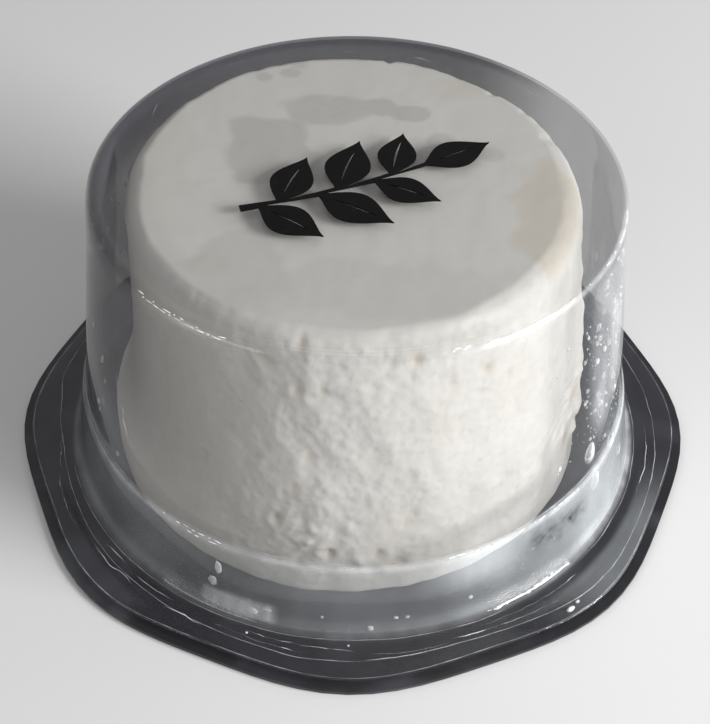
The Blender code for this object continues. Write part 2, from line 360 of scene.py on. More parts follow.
class ShaderGraph:
    """The node graph of one material."""

    def __init__(self, name: str) -> None:
        """Start an empty material with this name."""
        self.material = bpy.data.materials.new(name)
        self.material.use_nodes = True
        self.tree = self.material.node_tree
        self.tree.nodes.clear()
        self._place: Wire | None = None

    def node(
        self, kind: str, settings: dict[str, object] | None = None, inputs: dict | None = None, output: int | str = 0
    ) -> Wire:
        """Add one node.

        Args:
            kind: Blender's type name of the node.
            settings: Properties of the node, set before its sockets.
            inputs: Values or wires for its sockets, by name or number.
            output: Socket that the returned wire starts from.

        Returns:
            A wire from the chosen output.
        """
        made = self.tree.nodes.new(kind)
        for key, value in (settings or {}).items():
            setattr(made, key, value)
        for key, value in (inputs or {}).items():
            if isinstance(value, Wire):
                self.tree.links.new(value.socket, made.inputs[key])
            else:
                made.inputs[key].default_value = value
        return Wire(self, made.outputs[output]) if len(made.outputs) else Wire(self, made.inputs[0])

    def place(self, scale: float | Sequence[float] = 1.0) -> Wire:
        """Return the object coordinates in metres, scaled evenly or along each axis."""
        scale = (scale,) * 3 if isinstance(scale, float) else tuple(scale)
        if self._place is None:
            self._place = self.node("ShaderNodeTexCoord", output="Object")
        return self.node("ShaderNodeVectorMath", {"operation": "MULTIPLY"}, {0: self._place, 1: scale})

    def noise(
        self, scale: float | Sequence[float], detail: float = 2.0, roughness: float = 0.5, bend: float = 0.0
    ) -> Wire:
        """Return noise over the object, with one frequency or one for each axis, in waves a metre."""
        settings = {"Vector": self.place(scale), "Scale": 1.0, "Detail": detail}
        settings |= {"Roughness": roughness, "Distortion": bend}
        return self.node("ShaderNodeTexNoise", None, settings)

    def cells(self, scale: float, smooth: float = 0.6) -> Wire:
        """Return the distance to the nearest of many scattered points, in shares of a cell."""
        inputs = {"Vector": self.place(), "Scale": scale, "Smoothness": smooth}
        return self.node("ShaderNodeTexVoronoi", {"feature": "SMOOTH_F1"}, inputs)

    def height_mm(self) -> Wire:
        """Return the height over the floor in millimetres."""
        return self.node("ShaderNodeSeparateXYZ", None, {0: self.place((0.0, 0.0, 1.0 / MILLIMETRE))}, output=2)

    def facing(self, blend: float) -> Wire:
        """Return how much a face turns away from the eye, from 0 to 1."""
        return self.node("ShaderNodeLayerWeight", None, {"Blend": blend}, output="Facing")

    def mask(self, patch: Patch) -> Wire:
        """Return a soft mask that the mesh carries."""
        return self.node("ShaderNodeAttribute", {"attribute_name": patch.value}, output="Fac")

    def blend(self, first: "Wire | Colour", second: "Wire | Colour", share: Wire) -> Wire:
        """Mix two colours by a share."""
        return self.node("ShaderNodeMix", {"data_type": "RGBA"}, {0: share, 6: first, 7: second}, output=2)

    def bump(self, height: Wire, distance: float, strength: float = 1.0) -> Wire:
        """Turn a height into a normal; distance is the height of a full step, in metres."""
        return self.node("ShaderNodeBump", None, {"Strength": strength, "Distance": distance, "Height": height})

    def surface(self, **sockets: "Wire | float | Colour") -> Wire:
        """Add a Principled shader whose sockets are named with underscores for spaces."""
        inputs = {key.replace("_", " "): value for key, value in sockets.items()}
        return self.node("ShaderNodeBsdfPrincipled", None, inputs)

    def see_through(self, shown: Wire, share: Wire) -> Wire:
        """Let what is behind show past a shader, which covers the given share of it."""
        clear = self.node("ShaderNodeBsdfTransparent")
        return self.node("ShaderNodeMixShader", None, {0: share, 1: clear, 2: shown})

    def finish(self, shader: Wire) -> bpy.types.Material:
        """Connect the shader to the output and return the material."""
        self.node("ShaderNodeOutputMaterial", None, {"Surface": shader})
        return self.material


@dataclass(frozen=True)
class CurdFinish:
    """Moist white curd: damp patches where the top clings to the plastic, a pitted grain at the side, and painted shade
    on the left side, the left bevel, the foot and in the pits.
    """

    white: Colour = (0.87, 0.85, 0.80, 1.0)
    cream_and_shade: Colour = (0.80, 0.735, 0.62, 1.0)
    # darker colour of the damp patches, also used to paint shade on the left bevel and the foot
    wet_and_shade: Colour = (0.67, 0.655, 0.61, 1.0)
    pit_shade: Colour = (0.70, 0.62, 0.50, 1.0)
    dull: Colour = (0.78, 0.755, 0.71, 1.0)
    flat_from: Pair = (50.6, 52.2)

    def material(self) -> bpy.types.Material:
        """Build the curd material."""
        graph = ShaderGraph("moist_curd")
        wet_and_shade, cream_and_shade, pit = (graph.mask(p) for p in (Patch.WET_AND_SHADE, Patch.CREAM_AND_SHADE, Patch.PIT))
        clouds = graph.noise((70.0, 70.0, 55.0), 3.0, 0.55)
        grain = graph.noise((760.0, 760.0, 620.0), 3.0, 0.62)
        crumbs = graph.cells(620.0)
        flat = graph.height_mm().rise(*self.flat_from)
        colour = graph.blend(self.white, self.cream_and_shade, clouds.rise(0.45, 0.85) * 0.30)
        colour = graph.blend(colour, self.dull, grain.rise(0.46, 0.72) * (0.75 - 0.55 * flat))
        # the creamier colour also paints shade along the foot and down the left side
        colour = graph.blend(colour, self.cream_and_shade, cream_and_shade)
        # the darker colour marks damp patches and paints shade on the left bevel and along the foot
        colour = graph.blend(colour, self.wet_and_shade, wet_and_shade * (0.8 + 0.3 * grain))
        # painted shade: pits darkened to a warm brown
        colour = graph.blend(colour, self.pit_shade, pit * 0.8)
        rough = 0.46 - wet_and_shade * 0.16 - clouds.rise(0.52, 0.75) * 0.14 + grain * 0.06
        height = (grain * 0.50 + crumbs * 0.60) * (1.0 - 0.9 * flat) + clouds * 0.15
        shader = graph.surface(
            Base_Color=colour,
            Roughness=rough,
            Normal=graph.bump(height, 0.00022, 0.75),
            Specular_IOR_Level=0.5,
        )
        return graph.finish(shader)


@dataclass(frozen=True)
class ClearFinish:
    """Thin clear plastic, faintly smoky, with painted shade that darkens its back, left and front skirt, pale creased
    edges that are painted glints, milky and hazy stretches partly painted lighter on the lit right, and dried whey.
    """

    smoke_and_shade: Colour = (0.034, 0.035, 0.046, 1.0)
    haze_and_light: Colour = (0.68, 0.715, 0.74, 1.0)
    milky: Colour = (0.75, 0.79, 0.81, 1.0)
    # pale colour of dried whey and of painted glints
    whitened_and_glint: Colour = (0.80, 0.81, 0.82, 1.0)
    body_cover: float = 0.19
    shade_cover: float = 0.47
    haze_light_cover: float = 0.225
    mist_light_cover: float = 0.19
    glint_cover: float = 0.30
    whey_cover: float = 0.22

    def material(self) -> bpy.types.Material:
        """Build the clear plastic material."""
        graph = ShaderGraph("clear_plastic")
        haze_and_light, mist_and_light, smoke_and_shade = (graph.mask(p) for p in (Patch.HAZE_AND_LIGHT, Patch.MIST, Patch.SMOKE))
        crease_glint, whey = (graph.mask(p) for p in (Patch.CREASE, Patch.WHEY))
        streaks = graph.noise((230.0, 230.0, 60.0), 2.0, 0.6).rise(0.3, 0.72)
        # hazy condensation on the right wall, partly painted light where the light falls
        haze_light = (haze_and_light * self.haze_light_cover) * (0.45 + 0.75 * streaks)
        # milky film on the skirt, partly painted light: paler on the lit right and near the foot
        mist_light = (mist_and_light * self.mist_light_cover) * (0.9 + 0.15 * streaks)
        # painted glints: the creased edges are whitened most where the light catches them
        whitened_and_glint = (crease_glint * self.glint_cover) * (0.55 + 0.6 * streaks)
        whitened_and_glint = whitened_and_glint + (whey * self.whey_cover) * (0.6 + 0.5 * streaks)
        edge = graph.facing(0.32)
        # painted shade: a darker tint on the back, the left wall and the front skirt
        body = self.body_cover + smoke_and_shade * self.shade_cover + (edge**3.0) * 0.22
        cover = (body + haze_light + mist_light + whitened_and_glint).least(0.94)
        colour = graph.blend(self.smoke_and_shade, self.haze_and_light, (haze_light * 4.2).least(1.0))
        colour = graph.blend(colour, self.milky, (mist_light * 4.2).least(1.0))
        colour = graph.blend(colour, self.whitened_and_glint, (whitened_and_glint * 3.0).least(1.0))
        shader = graph.surface(
            Base_Color=colour,
            Roughness=0.07 + mist_and_light * 0.12,
            Specular_IOR_Level=1.0,
            Coat_Weight=(1.0 - crease_glint * 1.3).most(0.0),
            Coat_Roughness=0.04,
        )
        return graph.finish(graph.see_through(shader, cover))


@dataclass(frozen=True)
class SheetFinish:
    """Dark smooth plastic sheet with faint rubbed streaks."""

    dark: Colour = (0.010, 0.010, 0.013, 1.0)
    rubbed: Colour = (0.040, 0.041, 0.048, 1.0)

    def material(self) -> bpy.types.Material:
        """Build the dark sheet material."""
        graph = ShaderGraph("dark_sheet")
        rubs = graph.noise(70.0, 2.0, 0.5, 0.7)
        colour = graph.blend(self.dark, self.rubbed, rubs.rise(0.45, 0.75))
        shader = graph.surface(
            Base_Color=colour,
            Roughness=0.24 + rubs * 0.16,
            Normal=graph.bump(rubs, 0.0003, 0.15),
        )
        return graph.finish(shader)


@dataclass(frozen=True)
class InkFinish:
    """Flat black print with a slight sheen and a few thin spots."""

    black: Colour = (0.002, 0.002, 0.0025, 1.0)
    thin: Colour = (0.006, 0.006, 0.007, 1.0)

    def material(self) -> bpy.types.Material:
        """Build the ink material."""
        graph = ShaderGraph("black_ink")
        spots = graph.noise(900.0, 3.0, 0.6)
        shader = graph.surface(
            Base_Color=graph.blend(self.black, self.thin, spots.rise(0.5, 0.8)),
            Roughness=0.5 + spots * 0.15,
            Normal=graph.bump(spots, 0.00002, 0.5),
            Specular_IOR_Level=0.12,
        )
        return graph.finish(shader)


@dataclass(frozen=True)
class WaterFinish:
    """Whey droplets: clearer in the middle, brighter towards their rims."""

    tint: Colour = (0.70, 0.73, 0.75, 1.0)
    milky: Colour = (0.92, 0.93, 0.93, 1.0)

    def material(self) -> bpy.types.Material:
        """Build the droplet material."""
        graph = ShaderGraph("whey_droplets")
        clouds = graph.noise(420.0, 2.0, 0.5)
        edge = graph.facing(0.45)
        cover = (0.16 + clouds.rise(0.42, 0.62) * 0.30 + (edge**1.5) * 0.65).least(0.97)
        shader = graph.surface(
            Base_Color=graph.blend(self.tint, self.milky, clouds.rise(0.4, 0.7)),
            Roughness=0.05 + clouds * 0.05,
            Specular_IOR_Level=1.0,
            Coat_Weight=1.0,
            Coat_Roughness=0.03,
        )
        return graph.finish(graph.see_through(shader, cover))


@dataclass(frozen=True)
class PaleFinish:
    """Pale plastic of the painted glints, the edges and the wrinkle lines, and crumbs of curd."""

    name: str
    light: Colour
    dull: Colour
    roughness: float

    def material(self) -> bpy.types.Material:
        """Build the pale material."""
        graph = ShaderGraph(self.name)
        patches = graph.noise(800.0, 2.0, 0.6)
        shader = graph.surface(
            Base_Color=graph.blend(self.light, self.dull, patches.rise(0.4, 0.7)),
            Roughness=self.roughness + patches * 0.1,
            Normal=graph.bump(patches, 0.00005, 0.5),
        )
        return graph.finish(shader)


# painted glints: white dashes where light catches the creased edges
GLINT_WHITE = PaleFinish("glint_white", (0.95, 0.95, 0.95, 1.0), (0.75, 0.76, 0.77, 1.0), 0.25)
# pale-grey moulded edges: partly a painted edge highlight
MOULDED_EDGE_GLINT = PaleFinish("edge_plastic_glint", (0.40, 0.41, 0.43, 1.0), (0.22, 0.23, 0.25, 1.0), 0.2)
# pale threads of the seal wrinkle lines and wall marks: partly painted highlights
WRINKLE_GLINT = PaleFinish("wrinkle", (0.85, 0.86, 0.87, 1.0), (0.55, 0.56, 0.58, 1.0), 0.2)
CRUMB = PaleFinish("curd_crumb", (0.62, 0.62, 0.60, 1.0), (0.45, 0.45, 0.45, 1.0), 0.45)


@dataclass(frozen=True)
class FloorFinish:
    """Plain pale floor with a barely uneven tone."""

    pale: Colour = (0.58, 0.58, 0.58, 1.0)
    darker: Colour = (0.565, 0.565, 0.567, 1.0)

    def material(self) -> bpy.types.Material:
        """Build the floor material."""
        graph = ShaderGraph("pale_floor")
        clouds = graph.noise(9.0, 3.0, 0.5)
        return graph.finish(
            graph.surface(Base_Color=graph.blend(self.pale, self.darker, clouds), Roughness=0.75 + clouds * 0.1)
        )


class NodeTree:
    """A Geometry Nodes tree with named inputs, run on a source mesh and taken as a plain mesh."""

    def __init__(self, name: str, sizes: dict[str, float | int]) -> None:
        """Start a tree with a geometry input, one input for each size and a geometry output."""
        self.tree = bpy.data.node_groups.new(name, "GeometryNodeTree")
        self.tree.interface.new_socket("Geometry", in_out="INPUT", socket_type="NodeSocketGeometry")
        self.tree.interface.new_socket("Geometry", in_out="OUTPUT", socket_type="NodeSocketGeometry")
        for key, value in sizes.items():
            kind = "NodeSocketInt" if isinstance(value, int) else "NodeSocketFloat"
            self.tree.interface.new_socket(key, in_out="INPUT", socket_type=kind)
        self.sizes = sizes
        self.start = self.tree.nodes.new("NodeGroupInput")

    def size(self, name: str) -> bpy.types.NodeSocket:
        """Return one of the tree's inputs."""
        return self.start.outputs[name]

    def node(
        self, kind: str, settings: dict[str, object] | None = None, inputs: dict[str | int, object] | None = None
    ) -> bpy.types.Node:
        """Add one node.

        Args:
            kind: Blender's type name of the node.
            settings: Properties of the node, set before its sockets.
            inputs: Values, sockets or nodes for its enabled sockets, by name or number.

        Returns:
            The node.
        """
        made = self.tree.nodes.new(kind)
        for key, value in (settings or {}).items():
            setattr(made, key, value)
        for key, value in (inputs or {}).items():
            named = [s for s in made.inputs if s.name == key and s.enabled]
            socket = made.inputs[key] if isinstance(key, int) else named[0]
            if isinstance(value, bpy.types.Node):
                value = next(s for s in value.outputs if s.enabled)
            if isinstance(value, bpy.types.NodeSocket):
                self.tree.links.new(value, socket)
            else:
                socket.default_value = value
        return made

    def sum(self, operation: str, first: object, second: object) -> bpy.types.Node:
        """Add a Math node on two values."""
        return self.node("ShaderNodeMath", {"operation": operation}, {0: first, 1: second})

    def chance(self, low: object, high: object, seed: object) -> bpy.types.Node:
        """Add a random number between two values."""
        inputs = {"Min": low, "Max": high, "Seed": seed}
        return self.node("FunctionNodeRandomValue", {"data_type": "FLOAT"}, inputs)

    def facing(self, axis: str, way: object) -> bpy.types.Node:
        """Add a rotation that turns one axis to a direction."""
        return self.node("FunctionNodeAlignRotationToVector", {"axis": axis}, {"Vector": way})

    def place(self, points: bpy.types.Node, placed: dict[str, object], material: bpy.types.Material) -> None:
        """Put a shape on points, make it real, dress it and end the tree.

        Args:
            points: Node whose points carry the shape.
            placed: Instance, rotation, scale and, where it has one, selection.
            material: Material of the result.
        """
        inputs = {"Points": points.outputs["Points"]} | placed
        set_out = self.node("GeometryNodeInstanceOnPoints", None, inputs)
        real = self.node("GeometryNodeRealizeInstances", None, {"Geometry": set_out})
        smooth = self.node("GeometryNodeSetShadeSmooth", None, {"Geometry": real})
        dressed = self.node("GeometryNodeSetMaterial", None, {"Geometry": smooth, "Material": material})
        self.node("NodeGroupOutput", None, {"Geometry": dressed})

    def run(self, source: bpy.types.Mesh, name: str) -> bpy.types.Mesh:
        """Run the tree and keep what it makes.

        Args:
            source: Mesh that the tree starts from.
            name: Name of the new mesh.

        Returns:
            The result as a plain mesh.
        """
        carrier = link(bpy.data.objects.new(name + "_source", source))
        modifier = carrier.modifiers.new(name, "NODES")
        modifier.node_group = self.tree
        for item in self.tree.interface.items_tree:
            if item.in_out == "INPUT" and item.name in self.sizes:
                modifier[item.identifier] = self.sizes[item.name]
        graph = bpy.context.evaluated_depsgraph_get()
        mesh = bpy.data.meshes.new_from_object(carrier.evaluated_get(graph), depsgraph=graph)
        mesh.name = name
        carrier.modifiers.remove(modifier)
        bpy.data.objects.remove(carrier)
        return mesh


def sizes_of(piece: object, *names: str) -> dict[str, float | int]:
    """Return some of a piece's fields under the names of tree inputs."""
    return {name.title(): getattr(piece, name) for name in names}


@dataclass
class CheeseRound:
    """The round of curd: tapered, slumped at the left, craggy and pitted at the front."""

    centre: Pair = (-0.020, 0.030)
    top_clearance: float = 0.010
    bottom_radius: float = 0.822
    top_radius: float = 0.738
    mean_radius: float = 0.80
    edge_drop: float = 0.082
    foot_round: float = 0.026
    slump_radius: float = 0.722
    slump_flare: float = 0.100
    slump_height: float = 0.165
    front_swell: float = 0.026
    back_draw: float = 0.012
    wave_depth: float = 0.010
    crag_depth: float = 0.012
    top_half_width: float = 0.664
    top_half_length: float = 0.712
    top_steps: tuple[Pair, ...] = ((84.0, 9.0), (52.0, 12.0))
    top_step_depth: float = 0.013
    top_notches: tuple[tuple[float, float, float], ...] = (
        # bearing, half width in degrees, depth
        (80.0, 2.0, 0.016),
        (47.0, 2.2, 0.016),
        (35.0, 2.5, 0.012),
        (22.0, 3.0, 0.012),
        (118.0, 3.0, 0.008),
    )
    top_edge_wave: float = 0.008
    segments: int = 480
    foot_shares: tuple[float, ...] = (0.3, 0.6, 0.85)
    foot_rings: int = 6
    side_rings: int = 120
    edge_rings: int = 10
    top_rings: int = 56
    small_pits: int = 170
    small_pit_depth: Pair = (0.05, 0.24)
    small_lumps: int = 150
    small_lump_height: Pair = (0.05, 0.17)
    seed: int = 11
    pits: tuple[Spot, ...] = (
        # bearing, height, half width in mm, half height in mm, depth in mm
        (260.0, 1.000, 0.75, 1.60, 0.38),
        (259.5, 0.820, 0.80, 1.20, 0.40),
        (265.0, 0.825, 0.60, 0.80, 0.35),
        (285.5, 0.925, 0.85, 0.95, 0.50),
        (303.0, 0.815, 1.00, 1.10, 0.35),
        (267.0, 0.165, 0.70, 1.20, 0.45),
        (277.5, 0.160, 0.60, 0.90, 0.40),
        (282.5, 0.105, 1.10, 1.40, 0.60),
        (259.0, 0.430, 0.80, 1.60, 0.35),
        (255.0, 0.300, 0.70, 1.40, 0.40),
        (262.0, 0.560, 0.80, 1.40, 0.25),
        (252.0, 0.900, 1.60, 1.20, 0.25),
        (296.0, 0.660, 0.50, 0.60, 0.20),
        (345.0, 0.300, 2.20, 2.40, 0.60),
        (352.0, 0.420, 1.60, 1.80, 0.50),
        (338.0, 0.180, 1.80, 1.60, 0.45),
        (350.5, 0.275, 2.20, 0.75, 0.80),
        (343.0, 0.060, 1.60, 1.10, 0.60),
    )
    lumps: tuple[Spot, ...] = (
        (257.5, 1.000, 0.70, 1.00, 0.12),
        (257.0, 0.810, 0.80, 1.00, 0.20),
        (273.5, 0.140, 1.10, 1.20, 0.55),
        (278.5, 0.095, 0.70, 0.90, 0.40),
        (275.0, 0.060, 0.90, 0.60, 0.35),
        (266.5, 0.445, 0.50, 0.55, 0.30),
        (263.0, 0.270, 0.55, 0.90, 0.40),
        (262.0, 0.220, 0.60, 0.90, 0.40),
        (273.5, 0.983, 0.45, 0.45, 0.22),
        (279.0, 0.950, 0.25, 1.10, 0.22),
        (279.5, 0.885, 0.30, 0.50, 0.25),
        (290.0, 0.875, 0.35, 0.35, 0.20),
        (292.0, 0.845, 0.45, 0.25, 0.20),
        (294.5, 0.810, 0.40, 0.30, 0.20),
        (348.0, 0.360, 1.40, 1.10, 0.35),
        (341.0, 0.240, 1.20, 1.00, 0.35),
        (354.0, 0.400, 6.00, 9.00, 0.95),
        (350.0, 0.190, 2.60, 0.90, 0.95),
        (346.0, 0.120, 2.00, 0.80, 0.80),
        (356.0, 0.560, 2.20, 1.40, 0.40),
        (352.0, 0.760, 1.80, 1.80, 0.35),
        (351.0, 0.900, 1.80, 1.20, 0.30),
    )
    wet_spots: tuple[Spot, ...] = (
        # x, y, half width, half length, strength
        (-0.30, 0.22, 0.17, 0.20, 0.90),
        (-0.13, 0.42, 0.17, 0.10, 0.80),
        (-0.33, 0.61, 0.035, 0.030, 0.75),
        (-0.24, 0.64, 0.045, 0.030, 0.75),
        (-0.21, 0.69, 0.030, 0.020, 0.60),
        (0.07, 0.44, 0.055, 0.050, 0.85),
        (0.17, 0.405, 0.065, 0.045, 0.85),
        (0.27, 0.26, 0.050, 0.040, 0.60),
        (0.43, 0.18, 0.045, 0.035, 0.50),
        (0.02, -0.50, 0.50, 0.13, 0.30),
        (-0.35, -0.45, 0.20, 0.18, 0.45),
    )
    cream_spots: tuple[Spot, ...] = (
        (0.61, -0.13, 0.13, 0.27, 0.75),
        (0.36, 0.57, 0.11, 0.07, 0.30),
        (-0.44, -0.40, 0.07, 0.06, 0.45),
        (-0.62, 0.10, 0.10, 0.30, 0.22),
    )
    # stretches of the side: middle bearing and half width in degrees
    slumped: Pair = (190.0, 75.0)
    swollen: Pair = (270.0, 80.0)
    drawn_in: Pair = (90.0, 90.0)
    rough_front: Pair = (270.0, 75.0)
    rough_right: Pair = (350.0, 40.0)
    lumpy: Pair = (268.0, 66.0)
    ridged: Pair = (256.0, 34.0)
    craggy: Pair = (260.0, 15.0)
    ragged: Pair = (348.0, 34.0)
    # stretches of the masks: first bearing, last bearing and ease in degrees
    # painted shade on the left bevel, which faces away from the light
    bevel_shade_arc: Arc = (152.0, 262.0, 34.0)
    # painted shade down the left side, away from the light
    shaded_left: Arc = (150.0, 262.0, 40.0)

    @property
    def underside(self) -> float:
        """Height of the underside."""
        return -SHEET / FOOT_RADIUS

    @property
    def top(self) -> float:
        """Height of the flat top."""
        return RIM_HEIGHT - DISC_DROP - SHEET / FOOT_RADIUS - self.top_clearance

    def side(self, angle: np.ndarray, height: np.ndarray) -> np.ndarray:
        """Return the side's radius, as the solid has it.

        Args:
            angle: Bearings in radians.
            height: Heights in shares of the foot radius.

        Returns:
            Radii in shares of the foot radius.
        """
        radius = self.bottom_radius + (self.top_radius - self.bottom_radius) * height
        fall = np.exp(-np.maximum(height - self.slump_height, 0.0) / self.slump_height)
        slumped = self.slump_radius + self.slump_flare * fall
        radius = radius + (slumped - radius) * angle_weight(angle, *self.slumped)
        radius = radius + self.front_swell * angle_weight(angle, *self.swollen) * (1.0 - 0.6 * height)
        radius = radius - self.back_draw * angle_weight(angle, *self.drawn_in)
        around = around_axis(angle, height)
        waves = noise_field(around + np.array((4.0, 1.0, 7.0)) / 3.1, 3.1)
        crags = noise_field(around + np.array((0.0, 0.0, 2.0 / 6.0)), (9.0, 9.0, 6.0))
        crags = 0.55 * crags + 0.22 * noise_field(around, (17.0, 17.0, 12.0))
        front, right = (angle_weight(angle, *arc) for arc in (self.rough_front, self.rough_right))
        rough = 0.25 + 0.75 * np.maximum(front, 0.6 * right)
        return radius + self.wave_depth * waves + self.crag_depth * crags * rough

    def top_edge(self, angle: np.ndarray) -> np.ndarray:
        """Return the radius of the flat top at each bearing."""
        long = self.top_half_length - self.top_half_width
        radius = self.top_half_width + long * np.abs(np.sin(angle))
        for bearing, half_width in self.top_steps:
            radius = radius - self.top_step_depth * angle_weight(angle, bearing, half_width)
        for bearing, half_width, depth in self.top_notches:
            radius = radius - depth * angle_weight(angle, bearing, half_width)
        around = around_axis(angle, np.full_like(angle, 3.0))
        ragged = 0.0035 * noise_field(around, 22.0)
        return radius + self.top_edge_wave * noise_field(around, 3.0) + ragged

    def spots(self, angle: np.ndarray, height: np.ndarray, marks: Sequence[Sequence[float]]) -> np.ndarray:
        """Add up soft spots on the side.

        Args:
            angle: Bearings in radians.
            height: Heights in shares of the foot radius.
            marks: Bearing, height, half width, half height and depth in mm of each spot.

        Returns:
            The summed depth in metres.
        """
        total = np.zeros_like(height)
        reach = self.mean_radius * FOOT_RADIUS
        for bearing, level, half_width, half_height, depth in marks:
            across = np.radians(turn_from(bearing, angle)) * reach / (half_width * MILLIMETRE)
            up = (height - level) * FOOT_RADIUS / (half_height * MILLIMETRE)
            total += depth * MILLIMETRE * np.exp(-(across**2 + up**2))
        return total

    def scattered(self, count: int, depth: Pair, seed: int) -> list[Spot]:
        """Scatter small spots, mostly over the front, always in the same places.

        Args:
            count: Number of spots.
            depth: Smallest and largest depth in mm.
            seed: Seed of the scatter.

        Returns:
            Spots as the spots method takes them.
        """
        chance = np.random.default_rng(seed)
        found = []
        for i in range(count):
            bearing = chance.normal(275.0, 34.0) if i % 4 else chance.uniform(0.0, 360.0)
            width = chance.uniform(0.22, 0.60)
            tall = width * chance.uniform(0.7, 1.9)
            found.append((bearing, chance.uniform(0.03, 0.99), width, tall, chance.uniform(*depth)))
        return found

    def relief(self, angle: np.ndarray, height: np.ndarray) -> tuple[np.ndarray, np.ndarray]:
        """Work out the side's fine relief.

        Args:
            angle: Bearings in radians.
            height: Heights in shares of the foot radius.

        Returns:
            The outward move in metres, and how deep in a pit each point lies, from 0 to 1.
        """
        front = angle_weight(angle, *self.lumpy)
        left_front = angle_weight(angle, *self.ridged)
        around = around_axis(angle, height)
        grain = around_axis(angle + 0.8 * height, height)
        lumps = noise_field(around, (24.0, 24.0, 19.0), 3.0) + 0.7 * noise_field(around, (50.0, 50.0, 42.0), 9.0)
        fine = noise_field(around, (84.0, 84.0, 66.0), 13.0)
        ridges = noise_field(grain, (46.0, 46.0, 12.0), 5.0)
        curls = np.abs(noise_field(around + 0.04 * lumps[..., None], (21.0, 21.0, 15.0), 21.0))
        craggy = angle_weight(angle, *self.craggy) * fall(0.30, 0.55, height)
        small_pits = self.scattered(self.small_pits, self.small_pit_depth, self.seed)
        small_lumps = self.scattered(self.small_lumps, self.small_lump_height, self.seed + 1)
        pits = self.spots(angle, height, [*self.pits, *small_pits])
        bumps = self.spots(angle, height, [*self.lumps, *small_lumps])
        move = (0.000068 * lumps + 0.000040 * fine) * (0.42 + 0.72 * front) + 0.00009 * ridges * left_front
        move = move + (0.00022 - 0.00075 * np.minimum(curls, 0.4)) * (0.04 * front + 0.85 * craggy)
        ragged = angle_weight(angle, *self.ragged) * band(height, 0.26, 0.40)
        move = move + 0.00055 * ragged * noise_field(around, (15.0, 15.0, 26.0), 31.0)
        move = move + 0.00022 * ragged * noise_field(around, (48.0, 48.0, 60.0), 33.0)
        rubbed = 0.25 + 0.75 * smooth_step(0.02, 0.12, height)
        return (move + bumps - pits) * rubbed, np.clip(pits / 0.0004, 0.0, 1.0)

    def rings(self) -> tuple[np.ndarray, dict[Patch, np.ndarray]]:
        """Build all rings from the underside to the top, with their masks.

        Returns:
            Ring points in metres, and one mask array for each patch.
        """
        angle = bearings(self.segments)
        side_top = self.top - self.edge_drop
        first = self.underside + self.foot_round
        low = np.full_like(angle, self.underside)
        foot = self.side(angle, np.zeros_like(angle))
        rows = [(foot * share, low) for share in self.foot_shares]
        for step in range(self.foot_rings):
            turn = 0.5 * math.pi * step / self.foot_rings
            inwards, up = self.foot_round * (1.0 - math.sin(turn)), self.foot_round * (1.0 - math.cos(turn))
            rows.append((foot - inwards, low + up))
        start = len(rows)
        heights = np.linspace(first, side_top, self.side_rings)
        turns = 0.5 * math.pi * np.arange(1, self.edge_rings + 1) / self.edge_rings
        heights = np.append(heights, side_top + self.edge_drop * np.sin(turns))
        inner = np.append(np.zeros(self.side_rings), 1.0 - np.cos(turns))[:, None]
        grid_angle, grid_height = np.meshgrid(angle, heights)
        move, pit = self.relief(grid_angle, grid_height)
        upper = self.side(grid_angle, np.minimum(grid_height, side_top))
        rim = self.top_edge(angle)
        side = upper * (1.0 - inner) + rim * inner + move / FOOT_RADIUS * (1.0 - inner**2)
        rows += [(side[i], grid_height[i]) for i in range(len(heights))]
        for step in range(1, self.top_rings + 1):
            share = 1.0 - step / (self.top_rings + 1.0)
            rows.append((rim * share, np.full_like(angle, self.top)))
        radius = np.array([row[0] for row in rows])
        height = np.array([row[1] for row in rows])
        x = (self.centre[0] + radius * np.cos(angle)) * FOOT_RADIUS
        y = (self.centre[1] + radius * np.sin(angle)) * FOOT_RADIUS
        points = np.stack((x, y, FLANGE_TOP_Z + height * FOOT_RADIUS), axis=-1)
        pits = np.zeros_like(radius)
        # depth in the pits, which paints their shade
        pits[start : start + len(heights)] = pit * (1.0 - inner)
        self.press_top(points, start + self.side_rings)
        return points, {Patch.PIT: pits, Patch.WET_AND_SHADE: self.wet_and_shade(points), Patch.CREAM_AND_SHADE: self.cream_and_shade(points)}

    def press_top(self, points: np.ndarray, first: int) -> None:
        """Give the soft edge and the top a low unevenness, kept under the plastic.

        Args:
            points: Ring points, changed in place.
            first: Index of the first ring of the edge.
        """
        rings = points[first:]
        waves = noise_field(rings, 170.0, 2.0) + 0.5 * noise_field(rings, 420.0, 6.0)
        depth = np.where(rings[..., 2] > points[-1, 0, 2] - 1e-6, 0.00006, 0.00022)
        rings[..., 2] += depth * (np.minimum(waves, 0.8) - 0.8)

    def flat_spots(self, points: np.ndarray, marks: Sequence[Sequence[float]]) -> np.ndarray:
        """Mark uneven spots on the top.

        Args:
            points: Ring points in metres.
            marks: Centre, half sizes and strength of each spot, in shares of the foot radius.

        Returns:
            The strongest mark at each point.
        """
        warp = noise_field(points, 110.0, 1.0) + 0.5 * noise_field(points, 260.0, 4.0)
        across = points[..., 0] / FOOT_RADIUS
        along = points[..., 1] / FOOT_RADIUS
        found = np.zeros(points.shape[:-1])
        for x, y, half_width, half_length, strength in marks:
            reach = np.hypot((across - x) / half_width, (along - y) / half_length) + 0.45 * warp
            found = np.maximum(found, strength * fall(0.84, 1.06, reach))
        return found

    def polar(self, points: np.ndarray) -> tuple[np.ndarray, np.ndarray]:
        """Return the radius and the bearing of points about the round's own axis."""
        across, along = (points[..., i] / FOOT_RADIUS - self.centre[i] for i in (0, 1))
        return np.hypot(across, along), np.arctan2(along, across)

    def wet_and_shade(self, points: np.ndarray) -> np.ndarray:
        """Mark the damp patches where the curd clings to the plastic on top, and painted shade on the left bevel and
        along the foot.
        """
        on_top = smooth_step(-0.0012, -0.0004, points[..., 2] - points[-1, 0, 2])
